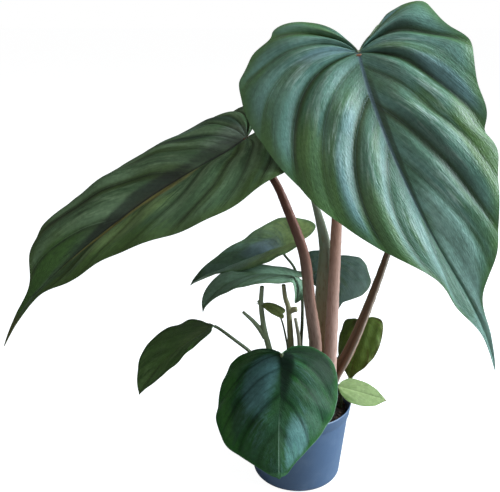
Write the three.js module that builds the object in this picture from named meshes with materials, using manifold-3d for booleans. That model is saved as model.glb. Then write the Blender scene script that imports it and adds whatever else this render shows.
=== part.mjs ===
// Potted Philodendron mamei: a young quilted-leaf aroid standing in a 12 cm nursery pot.
// Units are millimetres, +Z is up, -Y is the front. The origin is the centre of the pot's base.

import * as THREE from 'three';
import { mergeVertices } from 'three/addons/utils/BufferGeometryUtils.js';
import Module from 'manifold-3d';

const wasm = await Module();
wasm.setup();

// Pot
const POT_SIDES = 40;
const POT_HEIGHT = 90;
const POT_RIM_RADIUS = 60;
const POT_BAND_HEIGHT = 12;
const POT_BAND_STEP = 1.5;
const POT_BAND_LEDGE = 0.8;
const POT_RIM_ROUND = 0.8;
const POT_BASE_RADIUS = 49;
const POT_FLAT_RADIUS = 44.5;
const POT_HEEL_HEIGHT = 6;
const POT_HEEL_STEPS = 3;
const POT_WALL = 1.6;
const POT_FLOOR = 2.2;
const DRAIN_HOLES = 6;
const DRAIN_RADIUS = 4;
const DRAIN_CIRCLE = 32;
const DRAIN_SIDES = 12;

// Soil
const SOIL_LEVEL = 82;
const SOIL_LUMP = 1.6;
const SOIL_RINGS = 7;
const STEM_DEPTH = 16;

// Gaps between pieces that touch on the real plant
const SEAT_GAP = 0.3;
const SOIL_GAP = 0.5;
const STEM_HOLE_GAP = 0.4;
const STEM_HOLE_SIDES = 12;

// Leaf build: rows from midrib to margin, and samples across each puffed panel between two veins
const ROWS_LARGE = [0, 0.07, 0.2, 0.38, 0.58, 0.8, 1];
const ROWS_SMALL = [0, 0.12, 0.35, 0.65, 1];
const VEINS_LARGE = [0.14, 0.27, 0.39, 0.51, 0.61, 0.7, 0.78, 0.86];
const VEINS_MIDDLE = [0.2, 0.38, 0.53, 0.66, 0.78, 0.88];
const VEINS_SMALL = [0.25, 0.5, 0.7, 0.85];
const VEIN_SWEEP = 0.73;
const VEIN_SWEEP_POWER = 1.6;
const BASAL_SHARE = 0.34;
const MIDRIB_POWER = 1.75;
const MIDRIB_STEPS = 60;
const JUNCTION_REACH = 2;
const RIDGE_WIDTH = 4;
const DROOP_POWER = 1.5;
const MARGIN_STEPS = 16;

// Panels between veins: how flat the crest is, what height stays level with the blade, and how
// the puff grows from the midrib and falls off towards the margin, the junction and the tip
const CREST_POWER = 0.7;
const LEVEL_HEIGHT = 0.4;
const SCALLOP_LEVEL = 0.6;
const PUFF_FULL_AT = 0.45;
const PUFF_FALLS_AT = 0.6;
const PUFF_LOST_AT_MARGIN = 0.45;
const PUFF_FADE_JUNCTION = 6;
const PUFF_FADE_TIP = 3.5;
const SCALLOP_FADE_TIP = 4;

// Midrib under the blade: it grows over the first share of the length and thins to the tip
const RIB_START = 0.06;
const RIB_START_POWER = 1.5;
const RIB_TAPER = 0.7;

// The neck of a petiole, in tip radii, and its lean against the blade
const NECK_LENGTH = 3.2;
const NECK_UP = 0.8;
const NECK_BACK = 0.45;
const NECK_SEAT = 0.15;

const FINISH = {
  silverGreen: { color: 0x4f7a66, roughness: 0.45 },
  deepGreen: { color: 0x35502f, roughness: 0.45 },
  darkGreen: { color: 0x21402f, roughness: 0.45 },
  oliveGreen: { color: 0x3c4a22, roughness: 0.5 },
  paleGreen: { color: 0x8fae82, roughness: 0.5 },
  pinkStem: { color: 0x9a7562, roughness: 0.5 },
  redStem: { color: 0x5a372d, roughness: 0.5 },
  greenStem: { color: 0x5c6b4e, roughness: 0.5 },
  drySheath: { color: 0xb9b79c, roughness: 0.8 },
  potPlastic: { color: 0x55708f, roughness: 0.55 },
  soil: { color: 0x2c211a, roughness: 0.95 },
};

// Each leaf starts at its junction with the petiole. azimuth and pitch give the direction of the
// midrib there, roll turns the blade about it, and droop, sway and twist bend it on the way to the
// tip. A side has its half width, the lobe behind the junction, the place of the widest point, how
// full the shoulder is, and the angles at which the blade leaves the midrib and curls over.
const LEAVES = [
  {
    name: 'leaf_front_large', finish: 'silverGreen', veins: VEINS_LARGE, rows: ROWS_LARGE, samples: 4,
    junction: [47, -25, 469], azimuth: -66, pitch: -58, roll: -23, length: 322,
    droop: 15, twist: 7, sway: -25.5, drip: 69, dripDroop: 12, dripSway: 25, lobeDroop: 8,
    right: { half: 116, lobe: 45, lobeAt: 0.53, wide: 4, full: -1.5, late: -0.2, fold: 6, curl: 29 },
    left: { half: 96, lobe: 27, lobeAt: 0.68, wide: 39, full: 0.8, late: 1, fold: 14, curl: 16 },
    thick: 0.9, quilt: 4.2, rib: 2.6, scallop: 0.05,
  },
  {
    name: 'leaf_left_large', finish: 'deepGreen', veins: VEINS_LARGE, rows: ROWS_LARGE, samples: 4,
    junction: [-58, 25, 381], azimuth: 211, pitch: -19, roll: 6, length: 321,
    droop: 31.5, twist: 3, sway: -4, drip: 60, dripDroop: 13, dripSway: 4, lobeDroop: 4.5,
    right: { half: 121, lobe: 44, lobeAt: 0.53, wide: 75, full: 1.4, late: 0, fold: 21, curl: 63 },
    left: { half: 101, lobe: 47, lobeAt: 0.52, wide: 85, full: -0.8, late: 1.5, fold: 15, curl: 30 },
    thick: 0.9, quilt: 3.6, rib: 2.6, scallop: 0.03,
  },
  {
    name: 'leaf_front_low', finish: 'darkGreen', veins: VEINS_MIDDLE, rows: ROWS_LARGE, samples: 3,
    junction: [-21, -43, 167], azimuth: -96, pitch: -42, roll: -1.5, length: 125,
    droop: 20, twist: 9, sway: -3, drip: 4, dripDroop: 8, dripSway: -10, lobeDroop: 16,
    right: { half: 82, lobe: 12, lobeAt: 0.51, wide: 46, full: 1, late: -0.2, fold: -20, curl: 28 },
    left: { half: 67, lobe: 16, lobeAt: 0.5, wide: 36, full: -0.8, late: 0.45, fold: -14, curl: 25 },
    thick: 0.8, quilt: 1.6, rib: 1.4, scallop: 0.02,
  },
  {
    name: 'leaf_left_low', finish: 'oliveGreen', veins: VEINS_SMALL, rows: ROWS_SMALL, samples: 3,
    junction: [-93, 1, 179], azimuth: 205, pitch: -19, roll: -16, length: 111,
    droop: 38, twist: 30, sway: 3.5, drip: 5, dripDroop: 3, dripSway: 3.5, lobeDroop: 5,
    right: { half: 47.5, lobe: 3, lobeAt: 0.5, wide: 37, full: 0.3, late: 0.25, fold: 6, curl: 1 },
    left: { half: 29.5, lobe: 3, lobeAt: 0.5, wide: 37, full: 0.2, late: 0.2, fold: 17, curl: 17 },
    thick: 0.7, quilt: 0.8, rib: 1, scallop: 0.02,
  },
  {
    name: 'leaf_middle_upper', finish: 'silverGreen', veins: VEINS_SMALL, rows: ROWS_SMALL, samples: 3,
    junction: [-15, 61, 248], azimuth: 168, pitch: -22, roll: -6, length: 124,
    droop: 6, twist: 7, sway: -4, drip: 12.5, dripDroop: 19, dripSway: 4, lobeDroop: 7,
    right: { half: 51, lobe: 36, lobeAt: 0.58, wide: 12, full: -0.7, late: 1.4, fold: 30, curl: -3 },
    left: { half: 50, lobe: 28, lobeAt: 0.51, wide: 20, full: -1, late: -0.2, fold: 26, curl: 54 },
    thick: 0.7, quilt: 1, rib: 1, scallop: 0.02,
  },
  {
    name: 'leaf_middle_lower', finish: 'deepGreen', veins: VEINS_SMALL, rows: ROWS_SMALL, samples: 3,
    junction: [-3, 15, 231], azimuth: 176, pitch: 10, roll: -25, length: 120,
    droop: 78, twist: 21, sway: 0, drip: 17, dripDroop: 11, dripSway: 0, lobeDroop: 6,
    right: {
      half: 43, lobe: 26, lobeAt: 0.54, wide: 18, full: -0.5, late: 0, fold: 33, curl: 52, hang: -25,
    },
    left: {
      half: 33, lobe: 33, lobeAt: 0.51, wide: 20, full: 0, late: 0.3, fold: 1, curl: 35, hang: 118,
    },
    thick: 0.7, quilt: 0.8, rib: 1, scallop: 0.02,
  },
  {
    name: 'leaf_back_middle', finish: 'darkGreen', veins: VEINS_SMALL, rows: ROWS_SMALL, samples: 3,
    junction: [48, 93, 226], azimuth: -82, pitch: -36, roll: 14, length: 68,
    droop: 22, twist: 0, sway: 6, drip: 10, dripDroop: 11, dripSway: 7, lobeDroop: 8,
    right: { half: 40, lobe: 9.5, lobeAt: 0.52, wide: 23, full: 0.5, late: 0.2, fold: 6, curl: 20 },
    left: { half: 44, lobe: 6, lobeAt: 0.52, wide: 22, full: 0.55, late: 0.2, fold: 5.5, curl: 17 },
    thick: 0.7, quilt: 0.8, rib: 1, scallop: 0.02,
  },
  {
    name: 'leaf_right_low', finish: 'oliveGreen', veins: VEINS_SMALL, rows: ROWS_SMALL, samples: 3,
    junction: [79, 62, 157], azimuth: -115, pitch: -49, roll: -13, length: 76,
    droop: 14, twist: 0, sway: 2, drip: 8.5, dripDroop: 8, dripSway: -1, lobeDroop: 8,
    right: { half: 27.5, lobe: 3, lobeAt: 0.5, wide: 23, full: 0.3, late: 0, fold: 1, curl: 24 },
    left: { half: 28.5, lobe: 7, lobeAt: 0.5, wide: 20.5, full: 0.1, late: -0.1, fold: 5.5, curl: 22 },
    thick: 0.7, quilt: 0.7, rib: 0.9, scallop: 0.02,
  },
  {
    name: 'leaf_back_right', finish: 'deepGreen', veins: VEINS_SMALL, rows: ROWS_SMALL, samples: 3,
    junction: [110, 34, 321], azimuth: 25, pitch: -38, roll: 0, length: 104,
    droop: 20, twist: 0, sway: 0, drip: 14, dripDroop: 8, dripSway: 0, lobeDroop: 8,
    right: { half: 38, lobe: 18, lobeAt: 0.52, wide: 24, full: 0.3, late: 0, fold: 10, curl: 25 },
    left: { half: 38, lobe: 18, lobeAt: 0.52, wide: 24, full: 0.3, late: 0, fold: 10, curl: 25 },
    thick: 0.7, quilt: 1, rib: 1, scallop: 0.02,
  },
  {
    name: 'leaf_newest', finish: 'paleGreen', veins: VEINS_SMALL, rows: ROWS_SMALL, samples: 3,
    junction: [56, -2, 107], azimuth: 4, pitch: -12, roll: -44, length: 51,
    droop: 14, twist: 0, sway: 0, drip: 4, dripDroop: 3, dripSway: 0, lobeDroop: 8,
    right: { half: 16, lobe: 2, lobeAt: 0.5, wide: 19, full: 0.6, late: 0, fold: 12, curl: 20 },
    left: { half: 15, lobe: 2, lobeAt: 0.5, wide: 17, full: 0.3, late: 0, fold: 12, curl: 20 },
    thick: 0.7, quilt: 0.3, rib: 0.6, scallop: 0.01,
  },
  {
    name: 'leaf_old_small', finish: 'oliveGreen', veins: VEINS_SMALL, rows: ROWS_SMALL, samples: 2,
    junction: [-19, 9, 189], azimuth: 184, pitch: 50, roll: 10, length: 23,
    droop: 70, twist: 0, sway: 0, drip: 4, dripDroop: 10, dripSway: 0, lobeDroop: 5,
    right: { half: 7, lobe: 2, lobeAt: 0.5, wide: 9, full: 0.2, late: 0, fold: 20, curl: 30 },
    left: { half: 7, lobe: 2, lobeAt: 0.5, wide: 9, full: 0.2, late: 0, fold: 20, curl: 30 },
    thick: 0.7, quilt: 0.2, rib: 0.4, scallop: 0.01,
  },
];

// Petioles run from the soil to a leaf's junction. Their radius goes from base to tip, and
// channel is the depth of the groove along the front, as a share of the radius.
const PETIOLES = [
  {
    name: 'petiole_front_large', leaf: 'leaf_front_large', finish: 'pinkStem', sides: 12, steps: 18,
    base: 7.8, tip: 4.2, channel: 0.1,
    path: [[38, 9], [36.6, 9, 121], [36.8, 12, 157], [37.7, 16, 203], [38.6, 20, 251], [39, 20, 296],
      [40, 15, 360], [42.6, 3, 422]],
  },
  {
    name: 'petiole_left_large', leaf: 'leaf_left_large', finish: 'redStem', sides: 12, steps: 18,
    base: 6.8, tip: 3.6, channel: 0.3,
    path: [[20, -5], [22.5, -3, 120], [25.5, -2, 156], [13.8, -3, 211], [4.6, -3.5, 262], [-12.4, 1, 304],
      [-31, 8, 343]],
  },
  {
    name: 'petiole_back_right', leaf: 'leaf_back_right', finish: 'redStem', sides: 10, steps: 14,
    base: 6, tip: 2, channel: 0.25,
    path: [[40, 24], [46, 24, 108], [56, 20, 133], [67.5, 17, 166], [80.5, 16, 208], [94, 20, 251],
      [103, 25, 285]],
  },
  {
    name: 'petiole_middle_lower', leaf: 'leaf_middle_lower', finish: 'greenStem', sides: 8, steps: 10,
    base: 2.3, tip: 1.4, channel: 0, drop: 1,
    path: [[18.5, 11], [18, 12, 140], [14, 13, 182], [8, 14, 208]],
  },
  {
    name: 'petiole_middle_upper', leaf: 'leaf_middle_upper', finish: 'greenStem', sides: 8, steps: 12,
    base: 2.4, tip: 1.4, channel: 0,
    path: [[4, 24], [5, 34, 146], [6.5, 44, 165], [6, 57, 195], [-3, 62, 225]],
  },
  {
    name: 'petiole_back_middle', leaf: 'leaf_back_middle', finish: 'greenStem', sides: 8, steps: 10,
    base: 2.2, tip: 1.3, channel: 0,
    path: [[29, 38], [40, 52, 130], [48, 72, 180]],
  },
  {
    name: 'petiole_right_low', leaf: 'leaf_right_low', finish: 'greenStem', sides: 8, steps: 8,
    base: 2.2, tip: 1.3, channel: 0,
    path: [[37, 35.5], [39, 38, 96], [55, 56, 118], [69, 66, 138]],
  },
  {
    name: 'petiole_front_low', leaf: 'leaf_front_low', finish: 'greenStem', sides: 8, steps: 10,
    base: 2.6, tip: 1.7, channel: 0, drop: 0.5,
    path: [[-4, -3], [-7, -8, 115], [-13, -20, 143]],
  },
  {
    name: 'petiole_left_low', leaf: 'leaf_left_low', finish: 'greenStem', sides: 8, steps: 10,
    base: 1.9, tip: 1.3, channel: 0,
    path: [[-17, -2], [-22, 0, 104], [-32, 1, 122], [-54, 0, 148], [-74, 0, 165]],
  },
  {
    name: 'petiole_newest', leaf: 'leaf_newest', finish: 'greenStem', sides: 8, steps: 6,
    base: 2.4, tip: 1.3, channel: 0,
    path: [[48, -6], [49, -6, 92]],
  },
  {
    name: 'petiole_old_small', leaf: 'leaf_old_small', finish: 'greenStem', sides: 8, steps: 8,
    base: 1.8, tip: 0.9, channel: 0,
    path: [[-13, 5], [-12, 7, 149], [-14, 8, 161], [-17.5, 9, 177]],
  },
];

// Stems without a leaf: the rolled new leaf in its sheath, the cut stubs of old leaves with
// their side shoots, and a dried sheath.
const STUBS = [
  {
    name: 'new_leaf_spear', finish: 'greenStem', sides: 10, steps: 14, base: 6.2, tip: 0.9, swell: 0.35,
    path: [[26.5, 25], [33.5, 34, 160], [30.5, 34, 226], [28.7, 34, 261], [22.2, 32, 289.6],
      [12.5, 30, 319.5], [5.6, 30, 339]],
    branches: [],
  },
  {
    name: 'stub_left', finish: 'greenStem', sides: 8, steps: 12, base: 3.6, tip: 1.8, swell: 0,
    path: [[-23, 12], [-28, 12, 125], [-32.6, 12, 147], [-37.3, 11, 166], [-40.2, 10, 184],
      [-41.9, 10, 202], [-40.9, 10, 222]],
    branches: [
      { base: 2.4, tip: 1.3, path: [[-37, 11, 160], [-42, 10.5, 169], [-49.6, 9, 180], [-61.7, 6, 193.3]] },
      { base: 2.3, tip: 1.2, path: [[-41.6, 10, 199], [-44, 9.6, 203], [-45.5, 9.4, 205]] },
    ],
  },
  {
    name: 'stub_middle', finish: 'redStem', sides: 8, steps: 12, base: 3.8, tip: 1.5, swell: 0,
    path: [[-5, 17], [-6, 16, 123], [-7.7, 15, 145], [-9.3, 14, 168], [-10.7, 14, 186], [-12, 14, 197],
      [-15, 14, 206], [-17.4, 14, 222.4]],
    branches: [{ base: 3, tip: 2.3, path: [[-11.5, 14, 190], [-6, 13, 193], [-2.1, 12, 194]] }],
  },
  {
    name: 'dry_sheath', finish: 'drySheath', sides: 8, steps: 8, base: 2.6, tip: 0.8, swell: 0,
    path: [[2, 9], [1.5, 10, 120], [0.9, 11, 156], [-2, 11, 174], [-4, 10, 184]],
    branches: [],
  },
];

const radians = THREE.MathUtils.degToRad;
const clamp = THREE.MathUtils.clamp;
const UP = new THREE.Vector3(0, 0, 1);

function makeMaterial(finish) {
  return new THREE.MeshStandardMaterial({ ...FINISH[finish], metalness: 0 });
}

function geometryFrom(points, triangles) {
  const geometry = new THREE.BufferGeometry();
  const position = new Float32Array(points.length * 3);
  points.forEach((point, i) => point.toArray(position, i * 3));
  geometry.setAttribute('position', new THREE.BufferAttribute(position, 3));
  geometry.setIndex(triangles.flat());
  return geometry;
}

function toSolid(geometry) {
  return new wasm.Manifold(new wasm.Mesh({
    numProp: 3,
    vertProperties: new Float32Array(geometry.attributes.position.array),
    triVerts: new Uint32Array(geometry.index.array),
  }));
}

function fromSolid(solid) {
  const mesh = solid.getMesh();
  const geometry = new THREE.BufferGeometry();
  geometry.setAttribute('position', new THREE.BufferAttribute(new Float32Array(mesh.vertProperties), 3));
  geometry.setIndex([...mesh.triVerts]);
  return geometry;
}

// Half of a heart-shaped blade, from the junction round the lobe to the drip tip, in half widths
// across and blade lengths along.
function halfOutline(leaf, side) {
  const lobe = side.lobe / leaf.length;
  const wide = side.wide / leaf.length;
  const drip = leaf.drip / leaf.length;
  const body = 1 - drip - wide;
  const { full, late, lobeAt } = side;
  return [
    [0, 0],
    [0.12, -0.55 * lobe],
    [0.29, -0.88 * lobe],
    [lobeAt, -lobe],
    [0.82, -0.66 * lobe],
    [0.965, -0.1 * lobe + 0.25 * wide],
    [1, wide],
    [0.965 + 0.02 * full, wide + 0.2 * body],
    [0.83 + 0.06 * full - 0.01 * late, wide + 0.44 * body],
    [0.6 + 0.1 * full + 0.02 * late, wide + 0.67 * body],
    [0.3 + 0.08 * full + 0.08 * late, wide + 0.86 * body],
    [0.115, 1 - drip],
    [0.04, 1 - drip / 2],
    [0, 1],
  ];
}

// Smooth curve through the corners, with its length along the margin in millimetres.
function marginCurve(leaf, side) {
  const corners = halfOutline(leaf, side).map(([x, y]) => new THREE.Vector2(x, y));
  const points = new THREE.SplineCurve(corners).getPoints(corners.length * MARGIN_STEPS);
  const lengths = [0];
  for (let i = 1; i < points.length; i += 1) {
    const dx = (points[i].x - points[i - 1].x) * side.half;
    const dy = (points[i].y - points[i - 1].y) * leaf.length;
    lengths.push(lengths[i - 1] + Math.hypot(dx, dy));
  }
  const total = lengths[lengths.length - 1];
  return (share) => {
    const want = clamp(share, 0, 1) * total;
    let i = 1;
    while (i < lengths.length - 1 && lengths[i] < want) i += 1;
    const part = (want - lengths[i - 1]) / (lengths[i] - lengths[i - 1]);
    return points[i - 1].clone().lerp(points[i], part);
  };
}

// Direction of the midrib, of the blade's right side and of its upper face at a place along it.
function frameAt(leaf, along, hang = 0) {
  const azimuth = radians(leaf.azimuth);
  const pitch = radians(leaf.pitch);
  const roll = radians(leaf.roll);
  const tip0 = new THREE.Vector3(
    Math.cos(pitch) * Math.cos(azimuth), Math.cos(pitch) * Math.sin(azimuth), Math.sin(pitch));
  const level = new THREE.Vector3().crossVectors(tip0, UP).normalize();
  const rise = new THREE.Vector3().crossVectors(level, tip0);
  const right0 = level.multiplyScalar(Math.cos(roll)).addScaledVector(rise, Math.sin(roll));
  const up0 = new THREE.Vector3().crossVectors(right0, tip0);
  const y = clamp(along, 0, 1);
  const dripZone = 1.5 * leaf.drip / leaf.length;
  const inDrip = clamp((y - (1 - dripZone)) / dripZone, 0, 1) ** 1.5;
  let bend = radians(leaf.droop) * y ** DROOP_POWER + radians(leaf.dripDroop) * inDrip;
  if (along < 0) bend = radians(leaf.lobeDroop + hang) * along / 0.2;
  const sway = radians(leaf.sway) * y + radians(leaf.dripSway) * inDrip;
  const twist = radians(leaf.twist) * y;
  const forward = tip0.clone().multiplyScalar(Math.cos(bend)).addScaledVector(up0, -Math.sin(bend));
  const tip = forward.clone().multiplyScalar(Math.cos(sway)).addScaledVector(right0, Math.sin(sway));
  const flatRight = right0.clone().multiplyScalar(Math.cos(sway)).addScaledVector(forward, -Math.sin(sway));
  const flatUp = new THREE.Vector3().crossVectors(flatRight, tip);
  const right = flatRight.multiplyScalar(Math.cos(twist)).addScaledVector(flatUp, Math.sin(twist));
  const up = new THREE.Vector3().crossVectors(right, tip);
  return { tip, right, up };
}

// Curve of the midrib, with the junction at 0 and the tip at 1.
function midribCurve(leaf) {
  const steps = MIDRIB_STEPS;
  const points = [new THREE.Vector3(...leaf.junction)];
  for (let i = 1; i <= steps; i += 1) {
    const before = frameAt(leaf, (i - 1) / steps).tip;
    const after = frameAt(leaf, i / steps).tip;
    const stride = before.add(after).multiplyScalar(0.5 * leaf.length / steps);
    points.push(points[i - 1].clone().add(stride));
  }
  return (along) => {
    const place = clamp(along, 0, 1) * steps;
    const i = Math.min(Math.floor(place), steps - 1);
    return points[i].clone().lerp(points[i + 1], place - i);
  };
}

// Point of the blade that lies x half widths out from the midrib and y lengths along it, and the
// direction that its upper face has there.
function bladePoint(leaf, midrib, side, sign, x, y) {
  const hang = side.hang ?? 0;
  const { right, up } = frameAt(leaf, y, hang);
  const back = Math.min(y, 0);
  const start = midrib(y).addScaledVector(frameAt(leaf, back * 0.5, hang).tip, back * leaf.length);
  const fold = radians(side.fold);
  const curl = radians(side.curl);
  const out = (Math.sin(fold) - Math.sin(fold - curl * x)) / curl * side.half;
  const high = (Math.cos(fold - curl * x) - Math.cos(fold)) / curl * side.half;
  const slope = (fold - curl * x) * clamp(x * side.half / RIDGE_WIDTH, 0, 1);
  const normal = up.clone().multiplyScalar(Math.cos(slope)).addScaledVector(right, -sign * Math.sin(slope));
  return { point: start.addScaledVector(right, sign * out).addScaledVector(up, high), normal };
}

// 0 on a vein and 1 on the crest of the panel between two veins.
function panelHeight(veins, sigma) {
  const stops = [0, ...veins, 1];
  let i = 1;
  while (i < stops.length - 1 && stops[i] < sigma) i += 1;
  const phase = (sigma - stops[i - 1]) / (stops[i] - stops[i - 1]);
  return Math.sin(Math.PI * clamp(phase, 0, 1)) ** CREST_POWER;
}

// Shares of the margin at which the grid has a line: on each vein and across each panel.
function veinSamples(leaf) {
  const stops = [0, ...leaf.veins, 1];
  const samples = [];
  for (let i = 0; i < stops.length - 1; i += 1) {
    for (let j = 0; j < leaf.samples; j += 1) {
      samples.push(stops[i] + (stops[i + 1] - stops[i]) * j / leaf.samples);
    }
  }
  samples.push(1);
  return samples;
}

// Place on the flat blade of the point t of the way out along the grid line that ends at sigma.
// A vein leaves the midrib further along than a straight line would and sweeps round to the tip.
function flatPlace(leaf, margin, sigma, t) {
  const share = sigma - VEIN_SWEEP * sigma * (1 - sigma) * (1 - t ** VEIN_SWEEP_POWER);
  const along = clamp((share - BASAL_SHARE) / (1 - BASAL_SHARE), 0, 1) ** MIDRIB_POWER;
  const puff = panelHeight(leaf.veins, sigma);
  const edge = margin(share);
  const scallop = leaf.scallop * (puff - SCALLOP_LEVEL) * t * Math.min(1, (1 - sigma) * SCALLOP_FADE_TIP);
  return { puff, x: edge.x * t * (1 + scallop), y: along + (edge.y - along) * t };
}

// Area of a triangle on the flat blade, below zero where it is folded over.
function flatArea([[ax, ay], [bx, by], [cx, cy]]) {
  return ((bx - ax) * (cy - ay) - (by - ay) * (cx - ax)) / 2;
}

// The two triangles of a cell, cut along the diagonal that keeps them both open on the flat blade.
function splitCell(cell, places) {
  const [a, b, c, d] = cell;
  const ways = [[[a, d, c], [a, c, b]], [[a, d, b], [b, d, c]]];
  const [first, second] = ways.map((way) => Math.min(
    ...way.map((corners) => flatArea(corners.map((corner) => places[corner].flat)))));
  return first > second ? ways[0] : ways[1];
}

// One face of the blade as a grid along its veins, both sides sharing the points of the midrib.
// The first line that leaves the junction is the edge of the notch between the lobes.
function bladeGrid(leaf) {
  const midrib = midribCurve(leaf);
  const sigmas = veinSamples(leaf);
  const lastRow = leaf.rows.length - 1;
  const points = [midrib(0), midrib(1)];
  const normals = [frameAt(leaf, 0).up, frameAt(leaf, 1).up];
  const places = [{ y: 0, t: 0, puff: 0, flat: [0, 0] }, { y: 1, t: 0, puff: 0, flat: [0, leaf.length] }];
  const [junctionIndex, tipIndex] = [0, 1];
  const midribIndex = new Map();
  const triangles = [];
  const margins = [];
  for (const [side, sign] of [[leaf.right, 1], [leaf.left, -1]]) {
    const margin = marginCurve(leaf, side);
    const grid = sigmas.map((sigma) => leaf.rows.map((t) => {
      if (sigma === 0) return junctionIndex;
      if (sigma === 1) return tipIndex;
      const { puff, x, y } = flatPlace(leaf, margin, sigma, t);
      const flat = [x * side.half, y * leaf.length];
      if (Math.hypot(...flat) < JUNCTION_REACH) return junctionIndex;
      if (t === 0 && midribIndex.has(sigma)) return midribIndex.get(sigma);
      const { point, normal } = bladePoint(leaf, midrib, side, sign, x, y);
      points.push(point);
      normals.push(normal);
      places.push({ y, t, puff, sigma, flat });
      if (t === 0) midribIndex.set(sigma, points.length - 1);
      return points.length - 1;
    }));
    const edge = [...grid[1], ...grid.slice(2).map((line) => line[lastRow])];
    for (let i = 1; i < edge.length; i += 1) {
      const step = [edge[i - 1], edge[i]];
      if (step[0] !== step[1]) margins.push(sign > 0 ? step : step.reverse());
    }
    for (let i = 1; i < sigmas.length - 1; i += 1) {
      for (let j = 0; j < lastRow; j += 1) {
        const cell = [grid[i][j], grid[i + 1][j], grid[i + 1][j + 1], grid[i][j + 1]];
        for (const face of splitCell(cell, places)) {
          if (new Set(face).size === 3) triangles.push(sign > 0 ? face : face.reverse());
        }
      }
    }
  }
  return { points, normals, places, triangles, margins };
}

// The panels between the veins stand up from the blade, most of all half way out.
function puffPanels(leaf, { points, normals, places }) {
  return points.map((point, i) => {
    const { t, puff, sigma } = places[i];
    if (!puff) return point;
    const outer = clamp((t - PUFF_FALLS_AT) / (1 - PUFF_FALLS_AT), 0, 1);
    const rise = Math.min(1, t / PUFF_FULL_AT) * (1 - PUFF_LOST_AT_MARGIN * outer);
    const fade = Math.min(1, (1 - sigma) * PUFF_FADE_TIP, sigma * PUFF_FADE_JUNCTION);
    return point.clone().addScaledVector(normals[i], leaf.quilt * (puff - LEVEL_HEIGHT) * rise * fade);
  });
}

// A blade of even thickness with its midrib standing out below. Both faces share one pattern of
// triangles, and a strip along the margin closes them.
function bladeGeometry(leaf) {
  const grid = bladeGrid(leaf);
  const middle = puffPanels(leaf, grid);
  const { normals } = grid;
  const count = middle.length;
  const upper = middle.map((point, i) => point.clone().addScaledVector(normals[i], leaf.thick / 2));
  const lower = middle.map((point, i) => {
    const { y, t } = grid.places[i];
    const grown = Math.min(1, y / RIB_START) ** RIB_START_POWER * (1 - y) ** RIB_TAPER;
    const depth = leaf.thick / 2 + (t === 0 ? grown * leaf.rib : 0);
    return point.clone().addScaledVector(normals[i], -depth);
  });
  const triangles = [...grid.triangles];
  for (const [a, b, c] of grid.triangles) triangles.push([c + count, b + count, a + count]);
  for (const [a, b] of grid.margins) {
    triangles.push([a + count, b + count, b], [a + count, b, a]);
  }
  return geometryFrom([...upper, ...lower], triangles);
}

// A tapering stem along a curve, closed at both ends. Its groove faces the front. mitre cuts the
// top end along a plane, given by a point on it and its normal.
function stemGeometry(path, { base, tip, sides, steps, channel = 0, swell = 0, mitre = null }) {
  const curve = new THREE.CatmullRomCurve3(path.map((point) => new THREE.Vector3(...point)));
  const points = [];
  const front = new THREE.Vector3(0, -1, 0);
  for (let i = 0; i <= steps; i += 1) {
    const share = i / steps;
    const centre = curve.getPointAt(share);
    const along = curve.getTangentAt(share);
    const side = new THREE.Vector3().crossVectors(along, front).normalize();
    const face = new THREE.Vector3().crossVectors(side, along);
    const bulge = 1 + swell * Math.sin(Math.PI * clamp(share * 1.4 - 0.3, 0, 1));
    const radius = (base + (tip - base) * share) * bulge;
    for (let k = 0; k < sides; k += 1) {
      const angle = 2 * Math.PI * k / sides;
      const towards = Math.max(0, Math.cos(angle));
      const reach = radius * (1 - channel * towards ** 3);
      const point = centre.clone()
        .addScaledVector(face, reach * Math.cos(angle))
        .addScaledVector(side, reach * Math.sin(angle));
      if (mitre && i === steps) {
        const lift = mitre.normal.dot(mitre.point.clone().sub(point)) / mitre.normal.dot(along);
        point.addScaledVector(along, lift);
      }
      points.push(point);
    }
  }
  const triangles = [];
  for (let i = 0; i < steps; i += 1) {
    for (let k = 0; k < sides; k += 1) {
      const a = i * sides + k;
      const b = i * sides + (k + 1) % sides;
      triangles.push([a, b, b + sides], [a, b + sides, a + sides]);
    }
  }
  for (let k = 1; k < sides - 1; k += 1) {
    const top = steps * sides;
    triangles.push([0, k + 1, k], [top, top + k, top + k + 1]);
  }
  return geometryFrom(points, triangles);
}

// A path starts at the place of the stem's foot. The stem stands upright there, down in the soil.
function footed([[x, y], ...rest]) {
  const foot = SOIL_LEVEL - STEM_DEPTH;
  const upright = [foot, foot + 0.75 * STEM_DEPTH, SOIL_LEVEL + 2 * SOIL_LUMP];
  return [...upright.map((z) => [x, y, z]), ...rest];
}

// The plain hole that a stem stands in.
function stemHole({ path: [[x, y]], base }) {
  const foot = SOIL_LEVEL - STEM_DEPTH - SEAT_GAP;
  const mouth = SOIL_LEVEL + 3 * SOIL_LUMP;
  const radius = base + STEM_HOLE_GAP;
  const hole = { base: radius, tip: radius, sides: STEM_HOLE_SIDES, steps: 1 };
  return stemGeometry([[x, y, foot], [x, y, mouth]], hole);
}

// The petiole meets the underside of its blade at the junction.
function petioleShape(petiole) {
  const leaf = LEAVES.find((item) => item.name === petiole.leaf);
  const { tip, up } = frameAt(leaf, 0);
  const junction = new THREE.Vector3(...leaf.junction);
  const arrive = up.clone().multiplyScalar(NECK_UP).addScaledVector(tip, -NECK_BACK).normalize();
  const clear = leaf.thick / 2 + SEAT_GAP + NECK_SEAT * petiole.tip + (petiole.drop ?? 0);
  const seat = junction.clone().addScaledVector(up, -clear);
  const neck = seat.clone().addScaledVector(arrive, -petiole.tip * NECK_LENGTH);
  const path = [...footed(petiole.path), neck.toArray(), seat.toArray()];
  return stemGeometry(path, { ...petiole, mitre: { point: seat, normal: up } });
}

// A cut stub with its side shoots grown into it.
function stubShape(stub) {
  let solid = toSolid(stemGeometry(footed(stub.path), stub));
  for (const branch of stub.branches) {
    solid = solid.add(toSolid(stemGeometry(branch.path, { ...branch, sides: 8, steps: 5 })));
  }
  return fromSolid(solid);
}

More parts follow.
